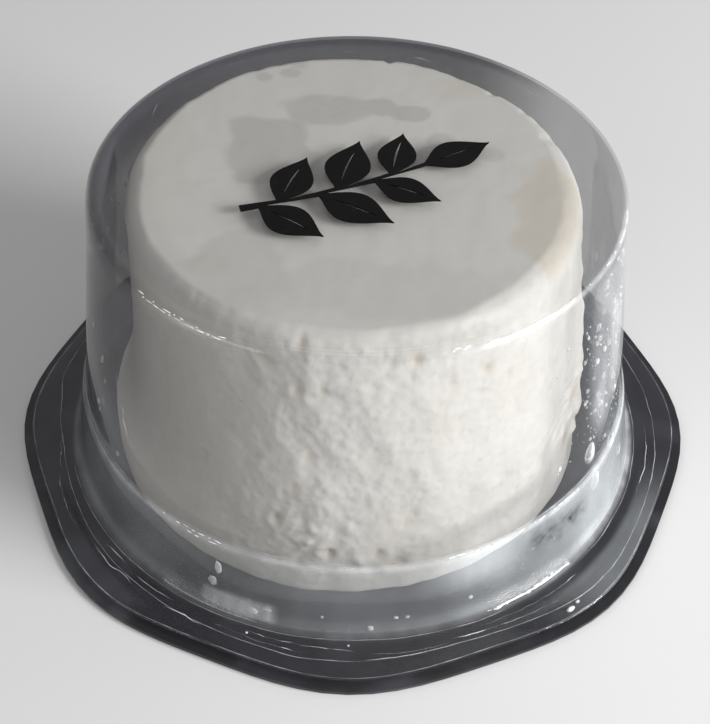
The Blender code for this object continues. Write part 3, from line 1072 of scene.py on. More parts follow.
        # painted shade: darker towards the bottom, where the foot curves under
        low = fall(0.0005, 0.0055, points[..., 2] - FLANGE_TOP_Z)
        reach, turn = self.polar(points)
        # painted shade on the left bevel, away from the light
        bevel = window(turn, *self.bevel_shade_arc) * band(points[..., 2] - points[-1, 0, 2], -0.0018, 0.0032)
        bevel = bevel * smooth_step(0.60, 0.66, reach)
        return np.maximum(np.maximum(self.flat_spots(points, self.wet_spots) * on_top, 0.85 * low), 0.80 * bevel)

    def cream_and_shade(self, points: np.ndarray) -> np.ndarray:
        """Mark creamier curd on the top, and painted shade along the foot and down the left side, away from the light.
        """
        on_top = smooth_step(-0.0030, -0.0010, points[..., 2] - points[-1, 0, 2])
        # painted shade: darker towards the bottom of the foot
        low = fall(0.0, 0.006, points[..., 2] - FLANGE_TOP_Z)
        # painted shade on the side away from the light
        left = 0.40 * window(self.polar(points)[1], *self.shaded_left) * (1.0 - on_top)
        return np.maximum(np.maximum(self.flat_spots(points, self.cream_spots) * on_top, 0.25 * low), left)

    def build(self, finish: CurdFinish) -> bpy.types.Object:
        """Build and dress the round.

        Args:
            finish: Finish of the curd.

        Returns:
            The piece that replaces the cheese's solid.
        """
        points, masks = self.rings()
        middle = tuple(c * FOOT_RADIUS for c in self.centre)
        foot = (*middle, FLANGE_TOP_Z + self.underside * FOOT_RADIUS)
        mesh = ring_mesh("cheese_round", points, foot, (*middle, points[-1, :, 2].mean()))
        for patch, values in masks.items():
            add_mask(mesh, patch, values)
        return settle(add_piece("cheese_round", mesh, finish.material()), Slot.CURD, "cheese")


@dataclass
class ClearDome:
    """The clear dome: top disc, rim, wall, shoulder, skirt and a flange with a bead and a lip."""

    rim_fillet: float = 0.030
    rim_drop: float = 0.0007
    rim_centre: float = 0.822
    disc_radius: float = 0.786
    wall_foot: Pair = (0.930, 0.292)
    shoulder: tuple[Pair, ...] = ((0.9335, 0.279), (0.9420, 0.270), (0.9470, 0.256))
    skirt_foot: Pair = (0.982, 0.034)
    foot_fillet: tuple[Pair, ...] = ((0.986, 0.016), (0.994, 0.005), (1.008, 0.000))
    flange: tuple[Pair, ...] = (
        (1.062, 0.0000),
        (1.070, 0.0050),
        (1.078, 0.0062),
        (1.086, 0.0055),
        (1.128, 0.0055),
        (1.134, 0.0075),
        (1.140, 0.0070),
    )
    rim_arc: Pair = (128.0, 6.0)
    rim_steps: int = 18
    disc_shares: tuple[float, ...] = (0.25, 0.5, 0.72, 0.88, 0.95)
    softenings: int = 2
    segments: int = 360
    spacing: float = 0.0135
    wave: float = 0.00007
    wrinkle: float = 0.00016
    # stretches of the masks: first bearing, last bearing and ease in degrees
    wrinkled_left: Arc = (150.0, 300.0, 30.0)
    wrinkled_right: Arc = (-60.0, -20.0, 20.0)
    # hazy right wall, partly painted light on the lit side
    lit_haze_near: Arc = (-37.0, -2.0, 9.0)
    lit_haze_far: Arc = (0.0, 60.0, 26.0)
    slate: Arc = (-47.0, -26.0, 8.0)
    misted_left: Arc = (180.0, 250.0, 24.0)
    # milky skirt on the lit right, partly painted light
    lit_mist_right: Arc = (-78.0, 44.0, 56.0)
    misted_fold: Arc = (-80.0, -50.0, 14.0)
    misted_wall: Arc = (186.0, 232.0, 16.0)
    misted_flange: Arc = (300.0, 352.0, 20.0)
    crinkled: Arc = (303.0, 326.0, 6.0)
    # painted shade: arcs of the darker tint
    dark_back: Arc = (34.0, 206.0, 34.0)
    dark_corner: Arc = (122.0, 222.0, 40.0)
    dark_left: Arc = (110.0, 264.0, 60.0)
    dark_front: Arc = (248.0, 294.0, 14.0)
    # whey film on the lit right wall, partly painted light
    lit_veil_arc: Arc = (-6.0, 40.0, 16.0)
    # bearings where the painted glints are strongest
    lit_right: Arc = (284.0, 360.0, 14.0)
    lit_left: Arc = (221.0, 247.0, 8.0)
    glint_shoulder: Arc = (200.0, 300.0, 30.0)
    glint_foot: Arc = (-72.0, 30.0, 30.0)
    dried: Arc = (240.5, 257.0, 2.0)

    def outer_profile(self) -> list[Pair]:
        """Return the outer profile from the edge of the top disc down to the flange's edge."""
        centre_height = RIM_HEIGHT - self.rim_fillet - self.rim_drop
        profile = [(self.disc_radius, RIM_HEIGHT - DISC_DROP)]
        begin, end = self.rim_arc
        for step in range(self.rim_steps + 1):
            turn = math.radians(begin + (end - begin) * step / self.rim_steps)
            radius = self.rim_centre + self.rim_fillet * math.cos(turn)
            profile.append((radius, centre_height + self.rim_fillet * math.sin(turn)))
        return [*profile, self.wall_foot, *self.shoulder, self.skirt_foot, *self.foot_fillet, *self.flange]

    def refined(self, profile: list[Pair]) -> np.ndarray:
        """Add points along long runs and soften the corners.

        Args:
            profile: Radius and height of each corner.

        Returns:
            An array of radius and height, finely spaced.
        """
        points = [np.array((share * self.disc_radius, RIM_HEIGHT - DISC_DROP)) for share in self.disc_shares]
        flat = len(points)
        for here, after in zip(profile, profile[1:]):
            here, after = np.array(here), np.array(after)
            steps = max(int(math.ceil(np.linalg.norm(after - here) / self.spacing)), 1)
            points += [here + (after - here) * i / steps for i in range(steps)]
        points.append(np.array(profile[-1]))
        line = np.array(points)
        for _ in range(self.softenings):
            inner = 0.25 * line[flat - 1 : -2] + 0.5 * line[flat:-1] + 0.25 * line[flat + 1 :]
            line = np.vstack((line[:flat], inner, line[-1:]))
        return line

    def inner_of(self, outer: np.ndarray) -> np.ndarray:
        """Return the profile moved by the sheet's thickness towards the pack's inside."""
        way = np.gradient(outer, axis=0)
        way /= np.linalg.norm(way, axis=1)[:, None]
        return outer + np.stack((way[:, 1], -way[:, 0]), axis=-1) * SHEET / FOOT_RADIUS

    def grid(self, profile: np.ndarray) -> tuple[np.ndarray, np.ndarray, np.ndarray]:
        """Return radius, height and bearing of every point of the profile's rings."""
        turn = np.repeat(bearings(self.segments)[None, :], len(profile), axis=0)
        radius, height = (np.repeat(profile[:, i : i + 1], self.segments, axis=1) for i in (0, 1))
        return radius, height, turn

    def ring_points(self, profile: np.ndarray) -> np.ndarray:
        """Turn a profile round the axis, with the flange's lobes, wrinkles and the wall's soft waves.

        Args:
            profile: Radius and height of each ring.

        Returns:
            Ring points in metres.
        """
        radius, height, turn = self.grid(profile)
        on_wall = smooth_step(0.02, 0.10, height) * fall(0.90, 1.0, height)
        bulge = noise_field(around_axis(turn, height, 0.8), (4.5, 4.5, 3.0), 8.0) * self.wave * on_wall
        reach = (radius + lobe(radius, turn)) * FOOT_RADIUS + bulge - self.wave * on_wall
        sealed = smooth_step(1.008, 1.020, radius) * fall(1.128, 1.138, radius)
        creased = np.maximum(noise_field(around_axis(turn, radius * 2.2), 15.0, 3.0), 0.0)
        busy = 0.25 + 0.75 * np.maximum(window(turn, *self.wrinkled_left), window(turn, *self.wrinkled_right))
        level = FLANGE_TOP_Z + height * FOOT_RADIUS + self.wrinkle * creased * sealed * busy
        return np.stack((reach * np.cos(turn), reach * np.sin(turn), level), axis=-1)

    def masks(self, profile: np.ndarray) -> dict[Patch, np.ndarray]:
        """Mark the hazy and milky stretches, partly painted light, the painted shade of the darker back, the painted
        glints along the creased edges and the dried whey.

        Args:
            profile: Radius and height of each ring, in shares of the foot radius.

        Returns:
            One mask array for each patch.
        """
        radius, height, turn = self.grid(profile)
        around = around_axis(turn, height)
        columns = 0.5 + 0.9 * noise_field(around, (7.0, 7.0, 1.3), 2.0)
        clouds = 0.5 + 0.9 * noise_field(around, (3.5, 3.5, 4.5), 6.0)
        on_wall = smooth_step(0.27, 0.30, height) * fall(0.99, 1.04, height)
        on_skirt = smooth_step(0.004, 0.02, height) * fall(0.262, 0.285, height) * (radius < 1.0)
        slate = window(turn, *self.slate) * band(height, 0.40, 0.15)
        # hazy condensation on the lit right wall: partly painted light
        haze_and_light = window(turn, *self.lit_haze_near) * (0.45 + 0.55 * clouds) + 0.42 * window(turn, *self.lit_haze_far) * columns
        haze_and_light = haze_and_light * on_wall * (1.0 - 0.75 * slate)
        # milky film on the skirt, partly painted light: paler on the lit right and in a band near the foot
        mist_and_light = 0.34 + 0.12 * window(turn, *self.misted_left) + 0.84 * window(turn, *self.lit_mist_right)
        mist_and_light = mist_and_light + 0.55 * window(turn, *self.misted_fold) * smooth_step(0.08, 0.2, height)
        mist_and_light = mist_and_light * on_skirt * (0.75 + 0.35 * clouds) * (1.0 + 0.5 * band(height, 0.03, 0.04))
        crinkle = 0.20 + np.maximum(noise_field(around, (60.0, 60.0, 90.0), 4.0), 0.0)
        mist_and_light = mist_and_light * (1.0 - 1.4 * window(turn, *self.crinkled) * band(height, 0.185, 0.095) * crinkle)
        mist_and_light = mist_and_light + 0.30 * on_wall * window(turn, *self.misted_wall) * fall(0.35, 0.75, height) * clouds
        mist_and_light = np.clip(mist_and_light + 0.45 * window(turn, *self.misted_flange) * smooth_step(1.035, 1.06, radius), 0.0, 1.3)
        # painted shade: darker tint on the back wall, the back corner, the left wall and the front skirt
        back = 0.94 * window(turn, *self.dark_back) * smooth_step(0.66, 0.93, height)
        back = np.maximum(back, 0.46 * window(turn, *self.dark_corner))
        beyond_disc = smooth_step(0.27, 0.30, height) * smooth_step(0.79, 0.81, radius)
        # whey film on the lit right wall, partly painted light; it also thins the painted shade
        lit_veil = window(turn, *self.lit_veil_arc) * fall(14.0, 40.0, turn_from(0.0, turn))
        lit_veil = lit_veil * (1.0 - 0.8 * smooth_step(0.84, 0.98, height))
        left = 0.32 * window(turn, *self.dark_left) * on_wall
        smoke_and_shade = (left + 0.94 * back * beyond_disc) * (1.0 - 0.9 * lit_veil)
        smoke_and_shade = smoke_and_shade + 0.12 * on_skirt * window(turn, *self.dark_front)
        # painted glints along the rim, the shoulder and the foot, strongest where the light catches them
        lit = np.maximum(window(turn, *self.lit_right), 0.75 * window(turn, *self.lit_left))
        crease_glint = band(radius, 0.847, 0.012) * band(height, 1.047, 0.022) * (0.10 + 0.75 * lit)
        shoulder = band(height, 0.268, 0.018) * (0.22 + 0.40 * np.maximum(lit, window(turn, *self.glint_shoulder)))
        foot = band(radius, 0.998, 0.016) * (height < 0.02) * (0.22 + 0.40 * window(turn, *self.glint_foot))
        crease_glint = np.clip(np.maximum(np.maximum(crease_glint, shoulder), foot), 0.0, 1.0)
        whey = window(turn, *self.dried) * smooth_step(0.010, 0.022, height) * fall(0.070, 0.088, height)
        lit_veil = lit_veil * on_wall * np.clip(0.55 + 1.1 * noise_field(around, (15.0, 15.0, 4.0), 12.0), 0.0, 1.2)
        whey = np.maximum(whey * on_skirt, 1.3 * lit_veil)
        return {Patch.HAZE_AND_LIGHT: haze_and_light, Patch.MIST: mist_and_light, Patch.SMOKE: smoke_and_shade, Patch.CREASE: crease_glint, Patch.WHEY: whey}

    def build(self, finish: ClearFinish) -> bpy.types.Object:
        """Build and dress the dome.

        Args:
            finish: Finish of the clear plastic.

        Returns:
            The piece that replaces the dome's solid.
        """
        outer = self.refined(self.outer_profile())
        inner = self.inner_of(outer)
        profile = np.vstack((inner, outer[::-1]))
        marked = np.vstack((outer, outer[::-1]))
        under = (0.0, 0.0, FLANGE_TOP_Z + inner[0, 1] * FOOT_RADIUS)
        over = (0.0, 0.0, FLANGE_TOP_Z + outer[0, 1] * FOOT_RADIUS)
        mesh = ring_mesh("clear_dome", self.ring_points(profile), under, over)
        for patch, values in self.masks(marked).items():
            add_mask(mesh, patch, values)
        return settle(add_piece("clear_dome", mesh, finish.material()), Slot.CLEAR_PLASTIC, "dome")

    def wall_radius(self, height: float) -> float:
        """Return the inner face's radius at a height, in shares of the foot radius."""
        upper = (self.rim_centre + self.rim_fillet, RIM_HEIGHT - self.rim_fillet)
        if height >= self.wall_foot[1]:
            low, high = self.wall_foot, upper
        else:
            low, high = self.skirt_foot, self.shoulder[-1]
        share = (height - low[1]) / (high[1] - low[1])
        return low[0] + (high[0] - low[0]) * share - 1.1 * SHEET / FOOT_RADIUS


@dataclass
class BaseSheet:
    """The dark sheet that closes the pack and reaches a little past the flange."""

    finish: SheetFinish

    def dress(self) -> None:
        """Give the solid its material and leave its shape alone."""
        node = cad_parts["base"]
        material = self.finish.material()
        if not node.data.materials:
            node.data.materials.append(material)
        for place in node.material_slots:
            place.material = material
        LOG.info("base: dressed")


@dataclass
class SprigPrint:
    """The black leaf sprig printed on the top disc, with a pale vein left open in each leaf."""

    stem_start: Pair = (-0.0180, -0.0085)
    stem_bend: Pair = (-0.0028, -0.0042)
    stem_end: Pair = (0.0108, 0.0040)
    stem_half_width: float = 0.00042
    places: tuple[float, ...] = (0.14, 0.45, 0.75)
    lengths: tuple[float, ...] = (0.0122, 0.0132, 0.0112)
    tip_length: float = 0.0122
    slimness: float = 0.26
    skew: float = 0.88
    taper: float = 1.35
    spread: float = math.radians(52.0)
    points: int = 18
    thickness: float = 0.0002
    vein_half_width: float = 0.00017

    def stem(self, share: float) -> tuple[Vector, Vector]:
        """Return the stem's point and unit direction at a share of its length."""
        start, bend, end = (Vector(p) for p in (self.stem_start, self.stem_bend, self.stem_end))
        point = start * (1 - share) ** 2 + bend * 2 * share * (1 - share) + end * share**2
        return point, ((bend - start) * (1 - share) + (end - bend) * share).normalized()

    def leaf(self, root: Vector, way: Vector, length: float) -> list[Vector]:
        """Return a leaf's outline from one side of its root round the tip to the other.

        Args:
            root: Where the leaf leaves the stem.
            way: Unit direction of the leaf.
            length: Length of the leaf in metres.

        Returns:
            The outline's points.
        """
        across = Vector((-way.y, way.x))
        outline = []
        for side in (1, -1):
            steps = range(self.points + 1) if side == 1 else range(self.points - 1, -1, -1)
            for i in steps:
                along = i / self.points
                swell = math.sin(math.pi * along**self.skew) ** self.taper
                half = self.stem_half_width * (1 - along) + self.slimness * length * swell
                outline.append(root + way * (length * along) + across * (side * half))
        return outline

    def vein(self, root: Vector, way: Vector, length: float) -> list[Vector]:
        """Return the slim gap along a leaf's middle, as a closed clockwise outline."""
        across = Vector((-way.y, way.x))
        upper, lower = [], []
        for i in range(9):
            share = i / 8
            along = 0.16 + 0.62 * share
            half = self.vein_half_width * math.sin(math.pi * (0.06 + 0.88 * share))
            bow = 0.00018 * math.sin(math.pi * share)
            middle = root + way * (length * along) + across * bow
            upper.append(middle + across * half)
            lower.append(middle - across * half)
        return upper + lower[::-1]

    def leaves(self, side: int) -> list[tuple[Vector, Vector, float]]:
        """Return root, direction and length of the leaves on one side of the stem."""
        found = []
        for place, length in zip(self.places, self.lengths):
            point, along = self.stem(place + 0.05 * side)
            way = Matrix.Rotation(self.spread * side, 2) @ along
            found.append((point + way * self.stem_half_width, way, length))
        return found

    def loops(self) -> list[list[Vector]]:
        """Return the sprig's outer outline and the veins' outlines."""
        start, along = self.stem(0.0)
        across = Vector((-along.y, along.x)) * self.stem_half_width * 1.8
        end, end_way = self.stem(1.0)
        right = [p for leaf in self.leaves(-1) for p in self.leaf(*leaf)[::-1]]
        left = [p for leaf in self.leaves(1) for p in self.leaf(*leaf)]
        tip = self.leaf(end, end_way, self.tip_length)[::-1]
        outer = [start - across, *right, *tip, *left[::-1], start + across]
        all_leaves = [*self.leaves(-1), *self.leaves(1), (end, end_way, self.tip_length)]
        return [outer, *(self.vein(*leaf) for leaf in all_leaves)]

    def build(self, finish: InkFinish) -> bpy.types.Object:
        """Build and dress the print.

        Args:
            finish: Finish of the ink.

        Returns:
            The piece that replaces the print's solid.
        """
        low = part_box("leaf_print")[0].z
        loops = self.loops()
        flat = [point for loop in loops for point in loop]
        faces = geometry.tessellate_polygon([[Vector((p.x, p.y, 0.0)) for p in loop] for loop in loops])
        points = [(p.x, p.y, low) for p in flat] + [(p.x, p.y, low + self.thickness) for p in flat]
        count = len(flat)
        skin: list[tuple[int, ...]] = []
        for a, b, c in faces:
            if (flat[b] - flat[a]).cross(flat[c] - flat[a]) < 0:
                b, c = c, b
            skin += [(a + count, b + count, c + count), (c, b, a)]
        first = 0
        for loop in loops:
            last = first + len(loop)
            turned = sum(p.cross(q) for p, q in zip(loop, loop[1:] + loop[:1]))
            outward = (turned > 0) == (first == 0)
            for i in range(first, last):
                j = i + 1 if i + 1 < last else first
                wall = (i, j, j + count, i + count)
                skin.append(wall if outward else wall[::-1])
            first = last
        mesh = bpy.data.meshes.new("sprig_print")
        mesh.from_pydata(points, [], skin)
        return settle(add_piece("sprig_print", mesh, finish.material()), Slot.BLACK_INK, "leaf_print")


@dataclass(frozen=True)
class DropField:
    """A stretch of the dome's inner wall that carries fine droplets."""

    start: float
    stop: float
    low: float
    high: float
    share: float


@dataclass
class WallDroplets:
    """Fine whey droplets on the inside of the wall, scattered by Geometry Nodes."""

    dome: ClearDome
    fields: tuple[DropField, ...] = (
        DropField(-36.0, -12.0, 0.38, 0.98, 1.0),
        DropField(-46.0, -36.0, 0.30, 0.90, 0.12),
        DropField(-34.0, -14.0, 0.30, 0.40, 0.55),
        DropField(-12.0, 30.0, 0.30, 0.60, 0.20),
        DropField(148.0, 176.0, 0.20, 0.85, 0.08),
        DropField(196.0, 214.0, 0.30, 0.75, 0.08),
        DropField(60.0, 130.0, 0.35, 0.95, 0.04),
        DropField(30.0, 60.0, 0.30, 0.95, 0.05),
    )
    density: float = 1500000.0
    spacing: float = 0.00062
    smallest: float = 0.00010
    largest: float = 0.00058
    stretch: float = 1.5
    tilt: float = 0.7
    depth: float = 0.45
    columns: int = 14
    rows: int = 10
    seed: int = 4

    def wall_patches(self) -> bpy.types.Mesh:
        """Return the stretches of wall as one mesh whose faces carry their share of the density."""
        points, faces, shares = [], [], []
        for field in self.fields:
            first = len(points)
            for i in range(self.columns + 1):
                turn = math.radians(field.start + (field.stop - field.start) * i / self.columns)
                for k in range(self.rows + 1):
                    height = field.low + (field.high - field.low) * k / self.rows
                    points.append(at(turn, self.dome.wall_radius(height), height))
            for i in range(self.columns):
                for k in range(self.rows):
                    a = first + i * (self.rows + 1) + k
                    faces.append((a, a + 1, a + self.rows + 2, a + self.rows + 1))
                    patchy = noise.noise(Vector((i * 0.45 + field.start, k * 0.5, 3.0)))
                    shares.append(field.share * max(0.15, min(1.0, 0.55 + 1.3 * patchy)))
        mesh = bpy.data.meshes.new("wall_patches")
        mesh.from_pydata(points, [], faces)
        layer = mesh.attributes.new("share", "FLOAT", "FACE")
        layer.data.foreach_set("value", np.array(shares, np.float32))
        return mesh

    def tree(self, material: bpy.types.Material) -> NodeTree:
        """Build the tree that scatters flattened droplets over a wall.

        Args:
            material: Material of the droplets.

        Returns:
            The tree with its named inputs.
        """
        sizes = sizes_of(self, "density", "spacing", "smallest", "largest", "stretch", "tilt", "depth", "seed")
        made = NodeTree("wall_droplets", sizes)
        share = made.node("GeometryNodeInputNamedAttribute", {"data_type": "FLOAT"}, {"Name": "share"})
        points = made.node(
            "GeometryNodeDistributePointsOnFaces",
            {"distribute_method": "POISSON"},
            {
                "Mesh": made.size("Geometry"),
                "Distance Min": made.size("Spacing"),
                "Density Max": made.size("Density"),
                "Density Factor": share.outputs[0],
                "Seed": made.size("Seed"),
            },
        )
        rare = made.sum("POWER", made.chance(0.0, 1.0, made.size("Seed")), 5.0)
        radius = made.node(
            "ShaderNodeMapRange",
            {"clamp": True},
            {"Value": rare, "To Min": made.size("Smallest"), "To Max": made.size("Largest")},
        )
        tall = made.sum("MULTIPLY", radius, made.chance(0.7, made.size("Stretch"), 21))
        thick = made.sum("MULTIPLY", radius, made.size("Depth"))
        scale = made.node("ShaderNodeCombineXYZ", None, {"X": radius, "Y": tall, "Z": thick})
        upright = made.node(
            "FunctionNodeAlignRotationToVector",
            {"axis": "Y", "pivot_axis": "Z"},
            {"Rotation": made.facing("Z", points.outputs["Normal"]), "Vector": (0.0, 0.0, 1.0)},
        )
        lean = made.sum("MULTIPLY", made.size("Tilt"), -1.0)
        turned = made.chance(lean, made.size("Tilt"), 22)
        spin = made.node("FunctionNodeAxisAngleToRotation", None, {"Axis": (0.0, 0.0, 1.0), "Angle": turned})
        upright = made.node(
            "FunctionNodeRotateRotation", {"rotation_space": "LOCAL"}, {"Rotation": upright, "Rotate By": spin}
        )
        drop = made.node("GeometryNodeMeshUVSphere", None, {"Segments": 8, "Rings": 5, "Radius": 1.0})
        made.place(points, {"Instance": drop.outputs["Mesh"], "Rotation": upright, "Scale": scale}, material)
        return made

    def build(self, finish: WaterFinish) -> bpy.types.Object:
        """Scatter and dress the droplets.

        Args:
            finish: Finish of the droplets.

        Returns:
            The piece with all fine droplets.
        """
        material = finish.material()
        mesh = self.tree(material).run(self.wall_patches(), "wall_droplets")
        return settle(add_piece("wall_droplets", mesh, material), Slot.CLEAR_PLASTIC)


@dataclass(frozen=True)
class Drop:
    """One drop on the inner wall: bearing, height, half width and half length in mm."""

    bearing: float
    height: float
    half_width: float
    half_length: float


@dataclass
class LargeDrops:
    """The larger drops of whey, each in its own place, fuller towards its lower end."""

    dome: ClearDome
    drops: tuple[Drop, ...] = (
        Drop(-32.5, 0.336, 1.15, 2.45),
        Drop(-31.6, 0.206, 1.00, 2.20),
        Drop(-22.5, 0.265, 0.95, 1.60),
        Drop(-16.5, 0.120, 0.55, 1.40),
        Drop(19.5, 0.507, 0.80, 0.95),
        Drop(170.5, 0.650, 0.95, 1.60),
        Drop(154.5, 0.778, 0.95, 1.10),
        Drop(160.5, 0.710, 0.30, 0.50),
        Drop(158.0, 0.614, 0.55, 0.40),
        Drop(158.5, 0.571, 0.50, 0.42),
        Drop(158.5, 0.455, 0.75, 0.75),
        Drop(154.5, 0.300, 0.55, 0.60),
        Drop(170.5, 0.440, 0.26, 0.45),
        Drop(206.0, 0.620, 0.22, 0.55),
        Drop(207.5, 0.540, 0.20, 0.60),
        Drop(206.5, 0.440, 0.24, 0.80),
        Drop(204.0, 0.370, 0.20, 0.50),
        Drop(-24.0, 0.700, 0.42, 0.70),
        Drop(-27.0, 0.600, 0.36, 0.60),
        Drop(-21.0, 0.520, 0.34, 0.62),
        Drop(-31.0, 0.500, 0.36, 0.36),
        Drop(-16.0, 0.130, 0.40, 1.00),
        Drop(130.0, 0.760, 0.50, 0.80),
        Drop(146.0, 0.720, 0.40, 0.60),
        Drop(92.0, 0.800, 0.42, 0.55),
        Drop(41.0, 0.720, 0.45, 0.70),
    )
    depth: float = 0.55
    sag: float = 0.22
    around: int = 20
    levels: int = 10

    def build(self, finish: WaterFinish) -> bpy.types.Object:
        """Build and dress the large drops.

        Args:
            finish: Finish of the droplets.

        Returns:
            The piece with all large drops.
        """
        ways, ball = unit_ball(self.around, self.levels)
        points, faces = [], []
        for drop in self.drops:
            turn = math.radians(drop.bearing)
            out, side = ways_at(turn)
            middle = at(turn, self.dome.wall_radius(drop.height), drop.height)
            faces += [tuple(len(points) + i for i in face) for face in ball]
            for way in ways:
                width = drop.half_width * MILLIMETRE * (1.0 - self.sag * way.y)
                flat = side * (way.x * width) - out * (way.z * width * self.depth)
                points.append(middle + flat + Vector((0.0, 0.0, way.y * drop.half_length * MILLIMETRE)))
        mesh = smooth_mesh("large_drops", points, faces)
        return settle(add_piece("large_drops", mesh, finish.material()), Slot.CLEAR_PLASTIC)


@dataclass(frozen=True)
class GlintArc:
    """An arc of the dome along which white dashes are laid as painted glints."""

    start: float
    stop: float
    radius: float
    height: float
    jitter: float


@dataclass
class CreaseGlints:
    """Short white dashes along the rim, the shoulder and the foot: painted glints."""

    glint_arcs: tuple[GlintArc, ...] = (
        GlintArc(223.0, 246.0, 0.8410, 1.0560, 0.003),
        GlintArc(224.0, 243.0, 0.8450, 1.0500, 0.003),
        GlintArc(287.0, 302.0, 0.8420, 1.0550, 0.004),
        GlintArc(290.0, 298.0, 0.8380, 1.0580, 0.003),
        GlintArc(312.0, 324.0, 0.8440, 1.0520, 0.004),
        GlintArc(330.0, 352.0, 0.8440, 1.0520, 0.005),
        GlintArc(231.0, 244.0, 0.9380, 0.2740, 0.004),
        GlintArc(234.0, 243.0, 0.9430, 0.2640, 0.004),
        GlintArc(286.0, 300.0, 0.9400, 0.2720, 0.004),
        GlintArc(303.0, 326.0, 0.9400, 0.2720, 0.004),
        GlintArc(299.0, 316.0, 0.9950, 0.0070, 0.006),
        GlintArc(306.0, 312.0, 0.9900, 0.0130, 0.006),
    )
    spacing: float = 0.0014
    length: float = 0.00062
    thickness: float = 0.000075
    kept: float = 0.56
    path_step: float = 0.6
    seed: int = 7

    def path_mesh(self) -> bpy.types.Mesh:
        """Return the arcs as chains of edges, each a little unsteady."""
        points, edges = [], []
        for crease_glint in self.glint_arcs:
            steps = int((crease_glint.stop - crease_glint.start) / self.path_step)
            for i in range(steps + 1):
                turn = math.radians(crease_glint.start + (crease_glint.stop - crease_glint.start) * i / steps)
                wander = noise.noise(Vector((math.degrees(turn) * 0.22, crease_glint.radius * 40.0, 1.0)))
                wander += 0.5 * noise.noise(Vector((math.degrees(turn) * 0.7, crease_glint.radius * 40.0, 5.0)))
                radius = crease_glint.radius + crease_glint.jitter * wander + float(lobe(crease_glint.radius, turn))
                points.append(at(turn, radius, crease_glint.height))
                if i:
                    edges.append((len(points) - 2, len(points) - 1))
        mesh = bpy.data.meshes.new("crease_paths")
        mesh.from_pydata(points, edges, [])
        return mesh

    def tree(self, material: bpy.types.Material) -> NodeTree:
        """Build the tree that lays slim dashes along paths.

        Args:
            material: Material of the dashes.

        Returns:
            The tree with its named inputs.
        """
        made = NodeTree("crease_dashes", sizes_of(self, "spacing", "length", "thickness", "kept", "seed"))
        curve = made.node("GeometryNodeMeshToCurve", None, {"Mesh": made.size("Geometry")})
        points = made.node(
            "GeometryNodeCurveToPoints", {"mode": "LENGTH"}, {"Curve": curve, "Length": made.size("Spacing")}
        )
        kept = made.node(
            "FunctionNodeRandomValue",
            {"data_type": "BOOLEAN"},
            {"Probability": made.size("Kept"), "Seed": made.size("Seed")},
        )
        long = made.sum("MULTIPLY", made.chance(0.15, 1.4, made.size("Seed")), made.size("Length"))
        thick = made.size("Thickness")
        scale = made.node("ShaderNodeCombineXYZ", None, {"X": long, "Y": thick, "Z": thick})
        along = made.facing("X", points.outputs["Tangent"])
        dash = made.node("GeometryNodeMeshUVSphere", None, {"Segments": 6, "Rings": 6, "Radius": 1.0})
        turned = made.node(
            "GeometryNodeTransform", None, {"Geometry": dash.outputs["Mesh"], "Rotation": (0.0, math.pi / 2, 0.0)}
        )
        made.place(points, {"Selection": kept, "Instance": turned, "Rotation": along, "Scale": scale}, material)
        return made

    def build(self, finish: PaleFinish) -> bpy.types.Object:
        """Lay and dress the dashes.

        Args:
            finish: Finish of the painted glints.

        Returns:
            The piece with all dashes.
        """
        material = finish.material()
        mesh = self.tree(material).run(self.path_mesh(), "crease_glints")
        return settle(add_piece("crease_glints", mesh, material), Slot.CLEAR_PLASTIC)


class Face(Enum):
    """Faces of the dome that a fine line runs on."""

    FLANGE = "flange"
    WALL = "wall"


@dataclass(frozen=True)
class Line:
    """A fine raised line: its face, its course and half thickness in mm.

    The course is a row of bearings, each with the radius on the flange or the height on the wall.
    """

    face: Face
    course: tuple[Pair, ...]
    half_thickness: float
    unsteady: float = 0.002
    broken: float = 0.0


def ring_course(start: float, stop: float, level: float) -> tuple[Pair, ...]:
    """Return a course that keeps one radius or height between two bearings."""
    return ((start, level), ((start + stop) / 2.0, level), (stop, level))


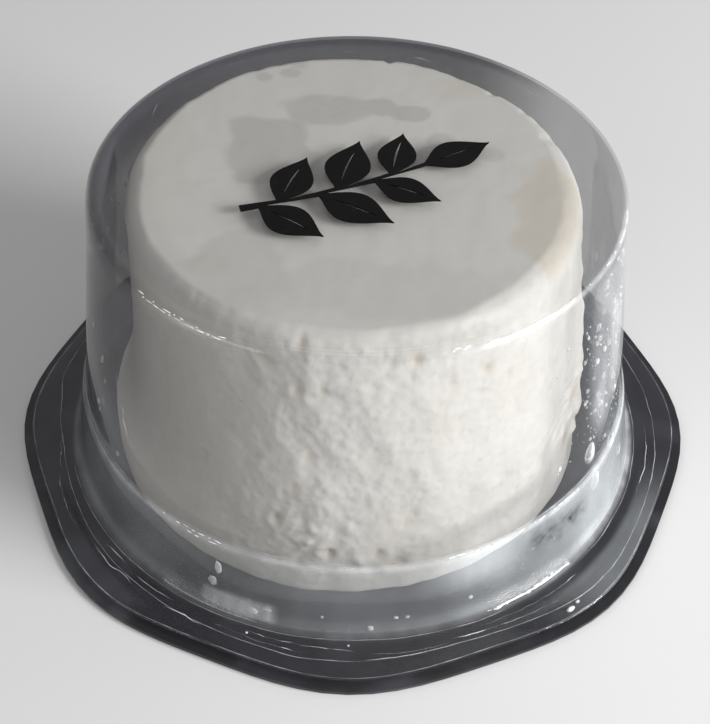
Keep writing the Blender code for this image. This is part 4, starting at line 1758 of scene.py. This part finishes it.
@dataclass
class FineLines:
    """Thin moulded edges, seal wrinkle lines and scratches of the dome, swept as slim pale threads that also paint the
    glints along them.
    """

    dome: ClearDome
    # moulded edges as pale-grey threads: partly a painted edge highlight
    edges: tuple[Line, ...] = (
        Line(Face.FLANGE, ring_course(0.0, 360.0, 1.1345), 0.060, 0.0015),
        Line(
            Face.FLANGE,
            ((163.0, 1.092), (171.5, 1.085), (178.0, 1.060), (185.0, 1.050), (192.0, 1.038), (205.0, 1.040),
             (215.0, 1.050), (225.0, 1.055), (236.0, 1.060), (249.0, 1.075), (262.0, 1.084), (275.0, 1.080)),
            0.045,
            0.003,
        ),
        Line(
            Face.FLANGE,
            ((272.0, 1.078), (288.0, 1.074), (300.0, 1.084), (314.0, 1.100), (325.0, 1.102), (339.0, 1.098),
             (357.0, 1.078), (365.0, 1.078), (380.0, 1.074), (400.0, 1.070)),
            0.060,
            0.003,
        ),
        Line(Face.FLANGE, ((400.0, 1.070), (450.0, 1.066), (500.0, 1.072), (523.0, 1.092)), 0.050, 0.003),
        Line(Face.WALL, ring_course(186.0, 300.0, 0.2830), 0.050, 0.002),
        Line(Face.WALL, ring_course(196.0, 330.0, 0.2580), 0.050, 0.002),
        Line(Face.WALL, ring_course(300.0, 334.0, 0.2820), 0.095, 0.002),
        Line(Face.FLANGE, ring_course(196.0, 300.0, 1.010), 0.040, 0.003),
        Line(Face.FLANGE, ring_course(318.0, 368.0, 1.012), 0.055, 0.003),
    )
    # seal wrinkle lines and bright marks on the wall: partly painted highlights
    wrinkle_glints: tuple[Line, ...] = (
        Line(Face.FLANGE, ((217.0, 1.063), (222.0, 1.069), (225.0, 1.062), (228.5, 1.066)), 0.065, 0.005),
        Line(Face.FLANGE, ((218.5, 1.032), (221.0, 1.027), (224.0, 1.030)), 0.055, 0.004),
        Line(Face.FLANGE, ((228.0, 1.034), (231.5, 1.040), (237.0, 1.036)), 0.050, 0.004),
        Line(Face.FLANGE, ((236.5, 1.067), (240.0, 1.061), (244.0, 1.074)), 0.060, 0.005),
        Line(Face.FLANGE, ((246.0, 1.045), (255.0, 1.058), (263.0, 1.068)), 0.050, 0.004, 0.35),
        Line(Face.FLANGE, ((250.0, 1.030), (262.0, 1.040), (271.0, 1.050)), 0.040, 0.004, 0.45),
        Line(Face.FLANGE, ((273.0, 1.060), (281.0, 1.066), (288.0, 1.060)), 0.040, 0.004, 0.40),
        Line(Face.FLANGE, ((288.5, 1.051), (299.0, 1.058), (309.0, 1.072)), 0.050, 0.004, 0.40),
        Line(Face.FLANGE, ((294.0, 1.032), (303.0, 1.038), (316.0, 1.040)), 0.050, 0.004, 0.40),
        Line(Face.FLANGE, ((186.0, 1.030), (191.0, 1.050), (197.0, 1.060)), 0.040, 0.006, 0.30),
        Line(Face.FLANGE, ((198.0, 1.075), (206.0, 1.088), (213.0, 1.080)), 0.035, 0.006, 0.40),
        Line(Face.FLANGE, ((340.0, 1.050), (349.0, 1.058), (359.0, 1.048)), 0.045, 0.004, 0.30),
        Line(Face.WALL, ((215.5, 0.545), (216.6, 0.520), (216.3, 0.490), (217.4, 0.462), (218.0, 0.435)), 0.150, 0.002),
        Line(Face.WALL, ((218.6, 0.432), (219.8, 0.415), (221.0, 0.424), (222.0, 0.452)), 0.085, 0.001),
        Line(Face.WALL, ((213.5, 0.640), (213.9, 0.600), (213.5, 0.575)), 0.060, 0.001),
        Line(Face.WALL, ((144.6, 0.985), (146.0, 0.965), (147.0, 0.935)), 0.330, 0.001),
        Line(Face.WALL, ((154.2, 0.830), (155.0, 0.794), (155.4, 0.760)), 0.190, 0.001),
        Line(Face.WALL, ((91.5, 0.985), (93.0, 0.990), (94.2, 0.980)), 0.120, 0.001),
        Line(Face.WALL, ((72.0, 0.975), (76.0, 0.985), (79.0, 0.970)), 0.150, 0.001),
        Line(Face.WALL, ((43.0, 0.990), (45.0, 0.985), (47.5, 0.995)), 0.150, 0.001),
    )
    sides: int = 6
    step: float = 0.00045
    seed: int = 5

    def along(self, line: Line) -> list[Vector]:
        """Follow a line's course in small steps with an unsteady hand.

        Args:
            line: The line to follow.

        Returns:
            Points in metres, on the sheet's face.
        """
        course, levels = np.array(line.course).T
        count = max(int(math.radians(course[-1] - course[0]) * FOOT_RADIUS / self.step), 6)
        count = max(count, int(np.abs(np.diff(levels)).sum() * FOOT_RADIUS / self.step))
        share = np.linspace(0.0, 1.0, count + 1)
        knots = np.linspace(0.0, 1.0, len(course))
        turn = np.radians(np.interp(share, knots, course))
        level = np.interp(share, knots, levels)
        for _ in range(min(count // 3, 12)):
            level[1:-1] = 0.25 * level[:-2] + 0.5 * level[1:-1] + 0.25 * level[2:]
        points = []
        for angle, place in zip(turn, level):
            around = Vector((math.cos(angle), math.sin(angle), float(levels[0]) * 7.0))
            jagged = 3.0 if line.face is Face.FLANGE and line.unsteady > 0.003 else 1.0
            hand = noise.noise(around * 9.0 * jagged) + 0.5 * noise.noise(around * 31.0 * jagged)
            place = place + line.unsteady * hand
            if line.face is Face.FLANGE:
                points.append(at(angle, place + lobe(place, angle), BEAD_HEIGHT))
            else:
                points.append(at(angle, self.dome.wall_radius(place), place))
        return points

    def sweep(self, line: Line, points: list[Vector], skin: tuple[list, list]) -> None:
        """Sweep a slim thread along points and add it to a skin.

        Args:
            line: The line, for its thickness and breaks.
            points: Points in metres.
            skin: Lists of points and faces that grow.
        """
        vertices, faces = skin
        last = len(points) - 1
        previous: list[int] = []
        for i, point in enumerate(points):
            way = (points[min(i + 1, last)] - points[max(i - 1, 0)]).normalized()
            side = way.cross(Vector((0.0, 0.0, 1.0))).normalized()
            over = side.cross(way)
            fade = min(i, last - i) / 5.0
            uneven = 0.75 + 0.9 * noise.noise(point * 260.0) + 0.3 * noise.noise(point * 900.0)
            gone = line.broken > 0 and noise.noise(point * 330.0 + Vector((3.0, 3.0, 3.0))) < line.broken - 0.35
            thick = line.half_thickness * MILLIMETRE * min(max(uneven, 0.2), 1.3) * min(max(fade, 0.15), 1.0)
            thick *= 0.18 if gone else 1.0
            ring = list(range(len(vertices), len(vertices) + self.sides))
            for k in range(self.sides):
                spin = math.tau * k / self.sides
                vertices.append(point + (side * math.cos(spin) + over * (0.6 * math.sin(spin))) * thick)
            if previous:
                for k in range(self.sides):
                    j = (k + 1) % self.sides
                    faces.append((previous[k], ring[k], ring[j], previous[j]))
            else:
                faces.append(tuple(ring))
            previous = ring
        faces.append(tuple(previous[::-1]))

    def build(self, name: str, lines: Sequence[Line], finish: PaleFinish) -> bpy.types.Object:
        """Build and dress a group of lines.

        Args:
            name: Name of the piece.
            lines: Lines to sweep.
            finish: Finish of the lines.

        Returns:
            The piece with these lines.
        """
        skin: tuple[list, list] = ([], [])
        for line in lines:
            self.sweep(line, self.along(line), skin)
        return settle(add_piece(name, smooth_mesh(name, *skin), finish.material()), Slot.CLEAR_PLASTIC)


@dataclass(frozen=True)
class Fleck:
    """A crumb of curd: bearing, radius and height in shares of the foot radius, half sizes in mm.

    The half sizes run round the pack, outwards and up.
    """

    bearing: float
    radius: float
    height: float
    half_sizes: tuple[float, float, float]


@dataclass
class CurdFlecks:
    """Small crumbs and smears of curd that cling inside the skirt and lie on the flange."""

    flecks: tuple[Fleck, ...] = (
        Fleck(251.5, 0.972, 0.030, (1.10, 0.35, 0.75)),
        Fleck(254.5, 0.966, 0.050, (0.80, 0.25, 0.35)),
        Fleck(244.3, 0.953, 0.168, (0.60, 0.22, 1.30)),
        Fleck(243.0, 0.959, 0.098, (0.85, 0.25, 1.10)),
        Fleck(274.0, 0.975, 0.020, (0.55, 0.30, 0.50)),
        Fleck(278.8, 0.966, 0.055, (0.35, 0.22, 0.30)),
        Fleck(281.0, 0.966, 0.052, (0.38, 0.22, 0.30)),
        Fleck(293.5, 0.964, 0.075, (0.38, 0.25, 0.40)),
        Fleck(265.0, 0.966, 0.060, (0.22, 0.18, 0.25)),
        Fleck(270.0, 1.030, 0.006, (0.15, 0.15, 0.12)),
        Fleck(309.0, 1.128, 0.014, (0.75, 0.45, 0.35)),
        Fleck(311.0, 1.120, 0.012, (0.35, 0.25, 0.22)),
        Fleck(252.0, 1.040, 0.008, (0.20, 0.16, 0.12)),
    )
    around: int = 14
    levels: int = 8
    seed: int = 3

    def build(self, finish: PaleFinish) -> bpy.types.Object:
        """Build and dress the crumbs.

        Args:
            finish: Finish of the crumbs.

        Returns:
            The piece with all crumbs.
        """
        chance = np.random.default_rng(self.seed)
        ways, ball = unit_ball(self.around, self.levels)
        points, faces = [], []
        for fleck in self.flecks:
            turn = math.radians(fleck.bearing)
            out, side = ways_at(turn)
            middle = at(turn, fleck.radius, fleck.height)
            width, depth, tall = (size * MILLIMETRE * chance.uniform(0.9, 1.1) for size in fleck.half_sizes)
            faces += [tuple(len(points) + i for i in face) for face in ball]
            for way in ways:
                rough = 1.0 + 0.40 * noise.noise(way * 1.6 + middle * 900.0)
                moved = side * (way.x * width) + out * (way.y * depth) + Vector((0.0, 0.0, way.z * tall))
                points.append(middle + moved * rough)
        mesh = smooth_mesh("curd_flecks", points, faces)
        return settle(add_piece("curd_flecks", mesh, finish.material()), Slot.CURD)


@dataclass(frozen=True)
class Lamp:
    """A soft area lamp that faces the pack: bearing and elevation in degrees, metres and watts."""

    name: str
    bearing: float
    elevation: float
    distance: float
    size: Pair
    power: float


@dataclass
class Studio:
    """The plain pale floor, the soft light from the right and the camera at the photograph's angle."""

    distance: float = 5.391
    elevation: float = 45.471
    yaw: float = 0.0378
    pitch: float = 1.951
    roll: float = -1.1353
    sky: float = 0.42
    lamps: tuple[Lamp, ...] = (
        Lamp("window", -24.0, 23.0, 0.70, (0.34, 0.24), 9.2),
        Lamp("wall", -140.0, 24.0, 0.90, (0.50, 0.40), 1.8),
    )
    target_height: float = 0.025
    floor_reach: float = 2.0
    floor_drop: float = 0.0002

    def floor(self, finish: FloorFinish) -> None:
        """Lay the floor just under the pack."""
        mesh = bpy.data.meshes.new("floor")
        corners = [(x * self.floor_reach, y * self.floor_reach, -self.floor_drop) for x, y in FLOOR_CORNERS]
        mesh.from_pydata(corners, [], [(0, 1, 2, 3)])
        add_piece("floor", mesh, finish.material())

    def hang(self, lamp: Lamp) -> None:
        """Hang one lamp."""
        light = bpy.data.lights.new(lamp.name, "AREA")
        light.shape = "RECTANGLE"
        light.size, light.size_y = lamp.size
        light.energy = lamp.power
        turn, rise = math.radians(lamp.bearing), math.radians(lamp.elevation)
        way = Vector((math.cos(turn) * math.cos(rise), math.sin(turn) * math.cos(rise), math.sin(rise)))
        hung = bpy.data.objects.new(lamp.name, light)
        hung.location = Vector((0.0, 0.0, self.target_height)) + way * lamp.distance
        hung.rotation_euler = (-way).to_track_quat("-Z", "Y").to_euler()
        link(hung)

    def light(self) -> None:
        """Set an even sky and the lamps."""
        world = bpy.data.worlds.new("studio")
        bpy.context.scene.world = world
        world.use_nodes = True
        background = world.node_tree.nodes["Background"]
        background.inputs["Color"].default_value = (1.0, 1.0, 1.0, 1.0)
        background.inputs["Strength"].default_value = self.sky
        for lamp in self.lamps:
            self.hang(lamp)

    def turned_axes(self) -> tuple[np.ndarray, np.ndarray]:
        """Return the camera's right, up and forward rows, and its place."""
        rise = math.radians(self.elevation)
        place = np.array((0.0, -math.cos(rise), math.sin(rise))) * self.distance
        forward = -place / np.linalg.norm(place)
        right = np.array((1.0, 0.0, 0.0))
        rows = np.array((right, np.cross(right, forward), forward))
        y, p, r = (math.radians(a) for a in (self.yaw, self.pitch, self.roll))
        turn_yaw = np.array(((math.cos(y), 0, -math.sin(y)), (0, 1, 0), (math.sin(y), 0, math.cos(y))))
        turn_pitch = np.array(((1, 0, 0), (0, math.cos(p), -math.sin(p)), (0, math.sin(p), math.cos(p))))
        turn_roll = np.array(((math.cos(r), -math.sin(r), 0), (math.sin(r), math.cos(r), 0), (0, 0, 1)))
        return turn_roll @ turn_pitch @ turn_yaw @ rows, place * FOOT_RADIUS

    def camera(self) -> None:
        """Place the camera as the photograph was taken."""
        rows, place = self.turned_axes()
        data = bpy.data.cameras.new("photo_camera")
        data.sensor_width = SENSOR_WIDTH_MM
        data.lens = SENSOR_WIDTH_MM * FOCAL_PIXELS / max(IMAGE_WIDTH, IMAGE_HEIGHT)
        data.clip_start, data.clip_end = CLIP_RANGE
        camera = bpy.data.objects.new("photo_camera", data)
        turned = Matrix(np.column_stack((rows[0], rows[1], -rows[2])).tolist()).to_4x4()
        spot = Vector(place.tolist()) + Vector((0.0, 0.0, FLANGE_TOP_Z))
        camera.matrix_world = Matrix.Translation(spot) @ turned
        bpy.context.scene.camera = link(camera)

    def build(self, finish: FloorFinish) -> None:
        """Set up the floor, the light and the camera."""
        self.floor(finish)
        self.light()
        self.camera()
        bpy.context.scene.view_settings.view_transform = "Standard"
        bpy.context.scene.view_settings.look = "None"


def main() -> None:
    """Build and dress the whole pack, then the studio round it."""
    logging.basicConfig(level=logging.INFO, format="%(name)s: %(message)s")
    dome = ClearDome()
    water = WaterFinish()
    CheeseRound().build(CurdFinish())
    dome.build(ClearFinish())
    BaseSheet(SheetFinish()).dress()
    SprigPrint().build(InkFinish())
    WallDroplets(dome).build(water)
    LargeDrops(dome).build(water)
    CreaseGlints().build(GLINT_WHITE)
    lines = FineLines(dome)
    lines.build("moulded_edges", lines.edges, MOULDED_EDGE_GLINT)
    lines.build("seal_wrinkle_glints", lines.wrinkle_glints, WRINKLE_GLINT)
    CurdFlecks().build(CRUMB)
    Studio().build(FloorFinish())


if __name__ == "__main__":
    main()
